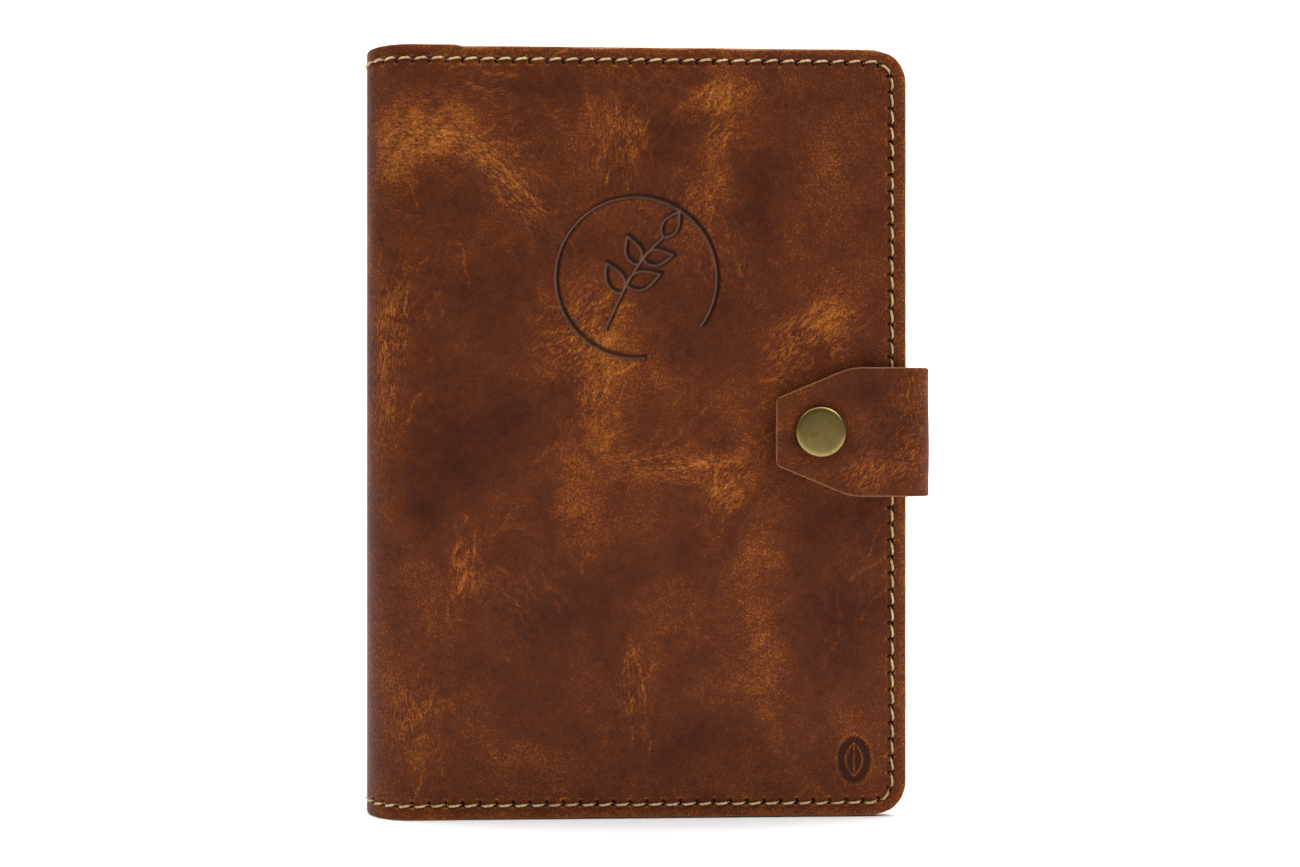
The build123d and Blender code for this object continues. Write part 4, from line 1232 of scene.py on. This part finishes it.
def flesh_leather():
    """Pocket leather: smooth tan on its face, pale and fibrous where it is cut."""
    f = Finish("pocket_leather_finish", Specular_IOR_Level=0.25, Roughness=0.85)
    place = f.attribute("sheet", "Vector")
    level = f.plus(f.attribute("tone"), f.centred(f.noise(place, 1.1, 3, 0.65), 0.6))
    face = f.colours(level, (0.1, (104, 66, 42)), (0.5, (142, 96, 64)), (0.9, (172, 126, 88)))
    fuzz = f.noise(place, 0.45, 3, 0.7)
    raw = f.colours(fuzz, (0.3, (168, 126, 84)), (0.5, (208, 172, 124)), (0.72, (232, 206, 164)))
    return f.surface(f.mix(f.attribute("cut"), face, raw), fuzz, 0.12)


def waxed_thread():
    """Cream polyester thread, waxed, a little dirty."""
    f = Finish("waxed_thread", Specular_IOR_Level=0.3, Roughness=0.6)
    place = f.object_place()
    strands = f.noise(place, 0.35, 2, 0.6)
    level = f.plus(f.times(strands, 0.6), f.times(f.noise(place, 9.0, 2, 0.5), 0.4))
    colour = f.colours(level, (0.3, (148, 118, 78)), (0.5, (186, 158, 114)), (0.7, (214, 190, 148)))
    return f.surface(colour, strands, 0.06)


def metal(name, dark, light, rough, patchy=0.5, wear=0.05):
    """Brass or steel with a mottled skin and fine wear."""
    f = Finish(name, Metallic=1.0)
    place = f.object_place()
    fine = f.noise(place, 0.35, 3, 0.7)
    level = f.plus(f.times(f.noise(place, 3.0, 4, 0.6), patchy), f.times(fine, 1 - patchy))
    return f.surface(f.colours(level, (0.35, dark), (0.65, light)), f.noise(place, 0.8, 3, 0.6), wear,
                     Roughness=f.plus(rough, f.centred(fine, 0.25)))


def board_cloth():
    """Book cloth over the notebook's boards."""
    f = Finish("book_cloth", Roughness=0.8, Specular_IOR_Level=0.2)
    place = f.object_place()
    height = f.times(f.bands(place, "X", 0.7, 1.2), f.bands(place, "Z", 0.7, 1.2))
    level = f.plus(f.times(height, 0.6), f.times(f.noise(place, 14.0, 3, 0.5), 0.4))
    colour = f.colours(level, (0.1, (22, 22, 24)), (0.6, (44, 43, 44)), (1.0, (60, 58, 58)))
    return f.surface(colour, height, 0.08)


def page_paper():
    """Cream paper, with the lines of its leaves on the cut sides."""
    f = Finish("page_paper", Roughness=0.85, Specular_IOR_Level=0.2)
    place = f.object_place()
    leaves = f.noise(f.moved(place, 0, (50, 0.22, 50)), 1.0, 2, 0.6)
    level = f.plus(f.times(leaves, 0.7), f.times(f.noise(place, 20.0, 2, 0.5), 0.3))
    colour = f.colours(level, (0.3, (196, 184, 158)), (0.5, (232, 224, 202)), (0.7, (244, 238, 222)))
    return f.surface(colour, leaves, 0.05)


def plain_paper():
    """Cream flyleaf."""
    f = Finish("flyleaf_paper", Roughness=0.85, Specular_IOR_Level=0.2)
    fibre = f.noise(f.object_place(), 0.8, 4, 0.6)
    return f.surface(f.colours(fibre, (0.3, (226, 218, 198)), (0.7, (240, 234, 218))))


def striped_cloth():
    """Headband, in two colours of thread."""
    f = Finish("headband_cloth", Roughness=0.7, Specular_IOR_Level=0.25)
    stripe = f.bands(f.object_place(), "Y", 0.35)
    return f.surface(f.colours(stripe, (0.4, (150, 44, 34)), (0.6, (226, 214, 188))), stripe, 0.08)


def give(obj, material):
    """Puts a material on a piece or a CAD node."""
    if not obj.material_slots:
        obj.data.materials.append(None)
    for place in obj.material_slots:
        place.link = "OBJECT"
        place.material = material


def dress(obj, slot, finish, *nodes):
    """Gives a piece its finish and hides the CAD nodes whose place it takes. slot is not used."""
    if nodes:
        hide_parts(*nodes)
    give(obj, finish)


# ---- pieces ----
LEATHER_FINISH = grain_leather()
POCKET_FINISH = flesh_leather()
THREAD_FINISH = waxed_thread()
ANTIQUE_BRASS = metal("antique_brass_finish", (128, 110, 64), (146, 126, 76), 0.33, 0.8, 0.02)
PLAIN_BRASS = metal("plain_brass_finish", (150, 118, 56), (196, 164, 92), 0.32)
STEEL = metal("spring_steel_finish", (120, 120, 122), (176, 176, 178), 0.3)

SPINE_NODES = {-1: (("spine_leather",), ("spine_seam_thread",)), 1: ((), ())}
for half, side_name in HALF_NAMES.items():
    spine_leather, spine_thread = SPINE_NODES[half]
    dress(cover_half(half), "cover_leather", LEATHER_FINISH, f"{side_name}_cover_leather", *spine_leather)
    dress(pocket(half), "pocket_leather", POCKET_FINISH, f"{side_name}_pocket_leather")
    dress(seam_thread(half), "thread", THREAD_FINISH, f"{side_name}_seam_thread", *spine_thread)
    dress(edge_fibres(half), "pocket_leather", POCKET_FINISH)

FRONT_FOLD, BACK_FOLD = FLAP_LENGTH + BEND_LENGTH / 2, BASE_START - BEND_LENGTH / 2
front_strap = strap("strap_front", 0, SIDE_MIDDLE, FRONT_FOLD, ("strap_side", "strap_flap"))
back_strap = strap("strap_back", SIDE_MIDDLE, STRAP_LENGTH, BACK_FOLD, ("back", "strap_side"))
dress(front_strap, "cover_leather", LEATHER_FINISH, "strap_flap", "strap_side")
dress(back_strap, "cover_leather", LEATHER_FINISH, "strap_base")
dress(box_thread(), "thread", THREAD_FINISH, "strap_base_thread")
dress(strap_fibres(), "pocket_leather", POCKET_FINISH)
dress(snap_cap(), "antique_brass", ANTIQUE_BRASS, "snap_cap")

CLOTH, PAPER = board_cloth(), page_paper()
KEPT_NODES = {
    "snap_socket": PLAIN_BRASS, "snap_stud": PLAIN_BRASS, "stud_eyelet": PLAIN_BRASS, "snap_spring": STEEL,
    "notebook_front_board": CLOTH, "notebook_back_board": CLOTH, "notebook_spine_strip": CLOTH,
    "page_signatures": PAPER, "endpapers": plain_paper(), "headbands": striped_cloth(),
}
for node, material in KEPT_NODES.items():
    give(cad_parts[node], material)


# ---- studio ----
def aimed(obj, place, target):
    """Puts a lamp or camera somewhere and turns it to its target, in metres."""
    obj.location = place
    obj.rotation_euler = (Vector(target) - Vector(place)).to_track_quat("-Z", "Y").to_euler()
    bpy.context.scene.collection.objects.link(obj)


def lamp(name, place, target, size, watts):
    """A soft rectangular lamp."""
    light = bpy.data.lights.new(name, "AREA")
    light.shape = "RECTANGLE"
    light.size, light.size_y = size
    light.energy = watts
    aimed(bpy.data.objects.new(name, light), place, target)


def sweep():
    """White floor that curves up into a wall behind the object."""
    wide, front, wall, radius, tall = 2600, -1800, 1500, 500, 1900
    turn = np.linspace(0, math.pi / 2, 13)
    profile = [(front, 0.0)] + [(wall - radius + radius * math.sin(a), radius - radius * math.cos(a))
                                for a in turn] + [(wall, tall)]
    points = [(x, y, z - 0.1) for y, z in profile for x in (-wide, wide)]
    quads = grid_quads(len(profile), 2)
    obj = make_mesh("studio_sweep", points, [quads[:, ::-1]])
    f = Finish("studio_white", Roughness=0.9, Specular_IOR_Level=0.0, Base_Color=(0.93, 0.93, 0.93, 1.0))
    give(obj, f.material)


CAMERA_TURN = math.radians(-2.3)
CAMERA_DISTANCE = 0.480
TARGET = (0.0009, FRONT_Y * MM, 0.11356)

sweep()
lamp("key", (0.70, -0.50, 0.95), (0, 0, 0.12), (0.5, 0.5), 7)
lamp("left_fill", (-1.1, -0.7, 0.5), (0, 0, 0.1), (1.0, 1.2), 2)
lamp("background", (0, 0.35, 1.6), (0, 1.3, 0.0), (2.2, 0.8), 55)
lamp("floor", (0, -0.1, 1.5), (0, -0.1, 0.0), (2.4, 1.0), 19)

world = bpy.data.worlds.new("studio_air")
world.use_nodes = True
air = world.node_tree.nodes["Background"].inputs
air["Color"].default_value, air["Strength"].default_value = (1, 1, 1, 1), 0.10
bpy.context.scene.world = world
bpy.context.scene.view_settings.view_transform = "Standard"

camera_data = bpy.data.cameras.new("camera")
camera_data.lens = 45.06
camera_data.sensor_width = 36
camera_data.clip_start = 0.01
camera = bpy.data.objects.new("camera", camera_data)
place = (TARGET[0] + CAMERA_DISTANCE * math.sin(CAMERA_TURN),
         TARGET[1] - CAMERA_DISTANCE * math.cos(CAMERA_TURN), TARGET[2])
aimed(camera, place, TARGET)
bpy.context.scene.camera = camera


def plain(box):
    """A box as plain lists of numbers."""
    return [[float(v) for v in corner] for corner in box]
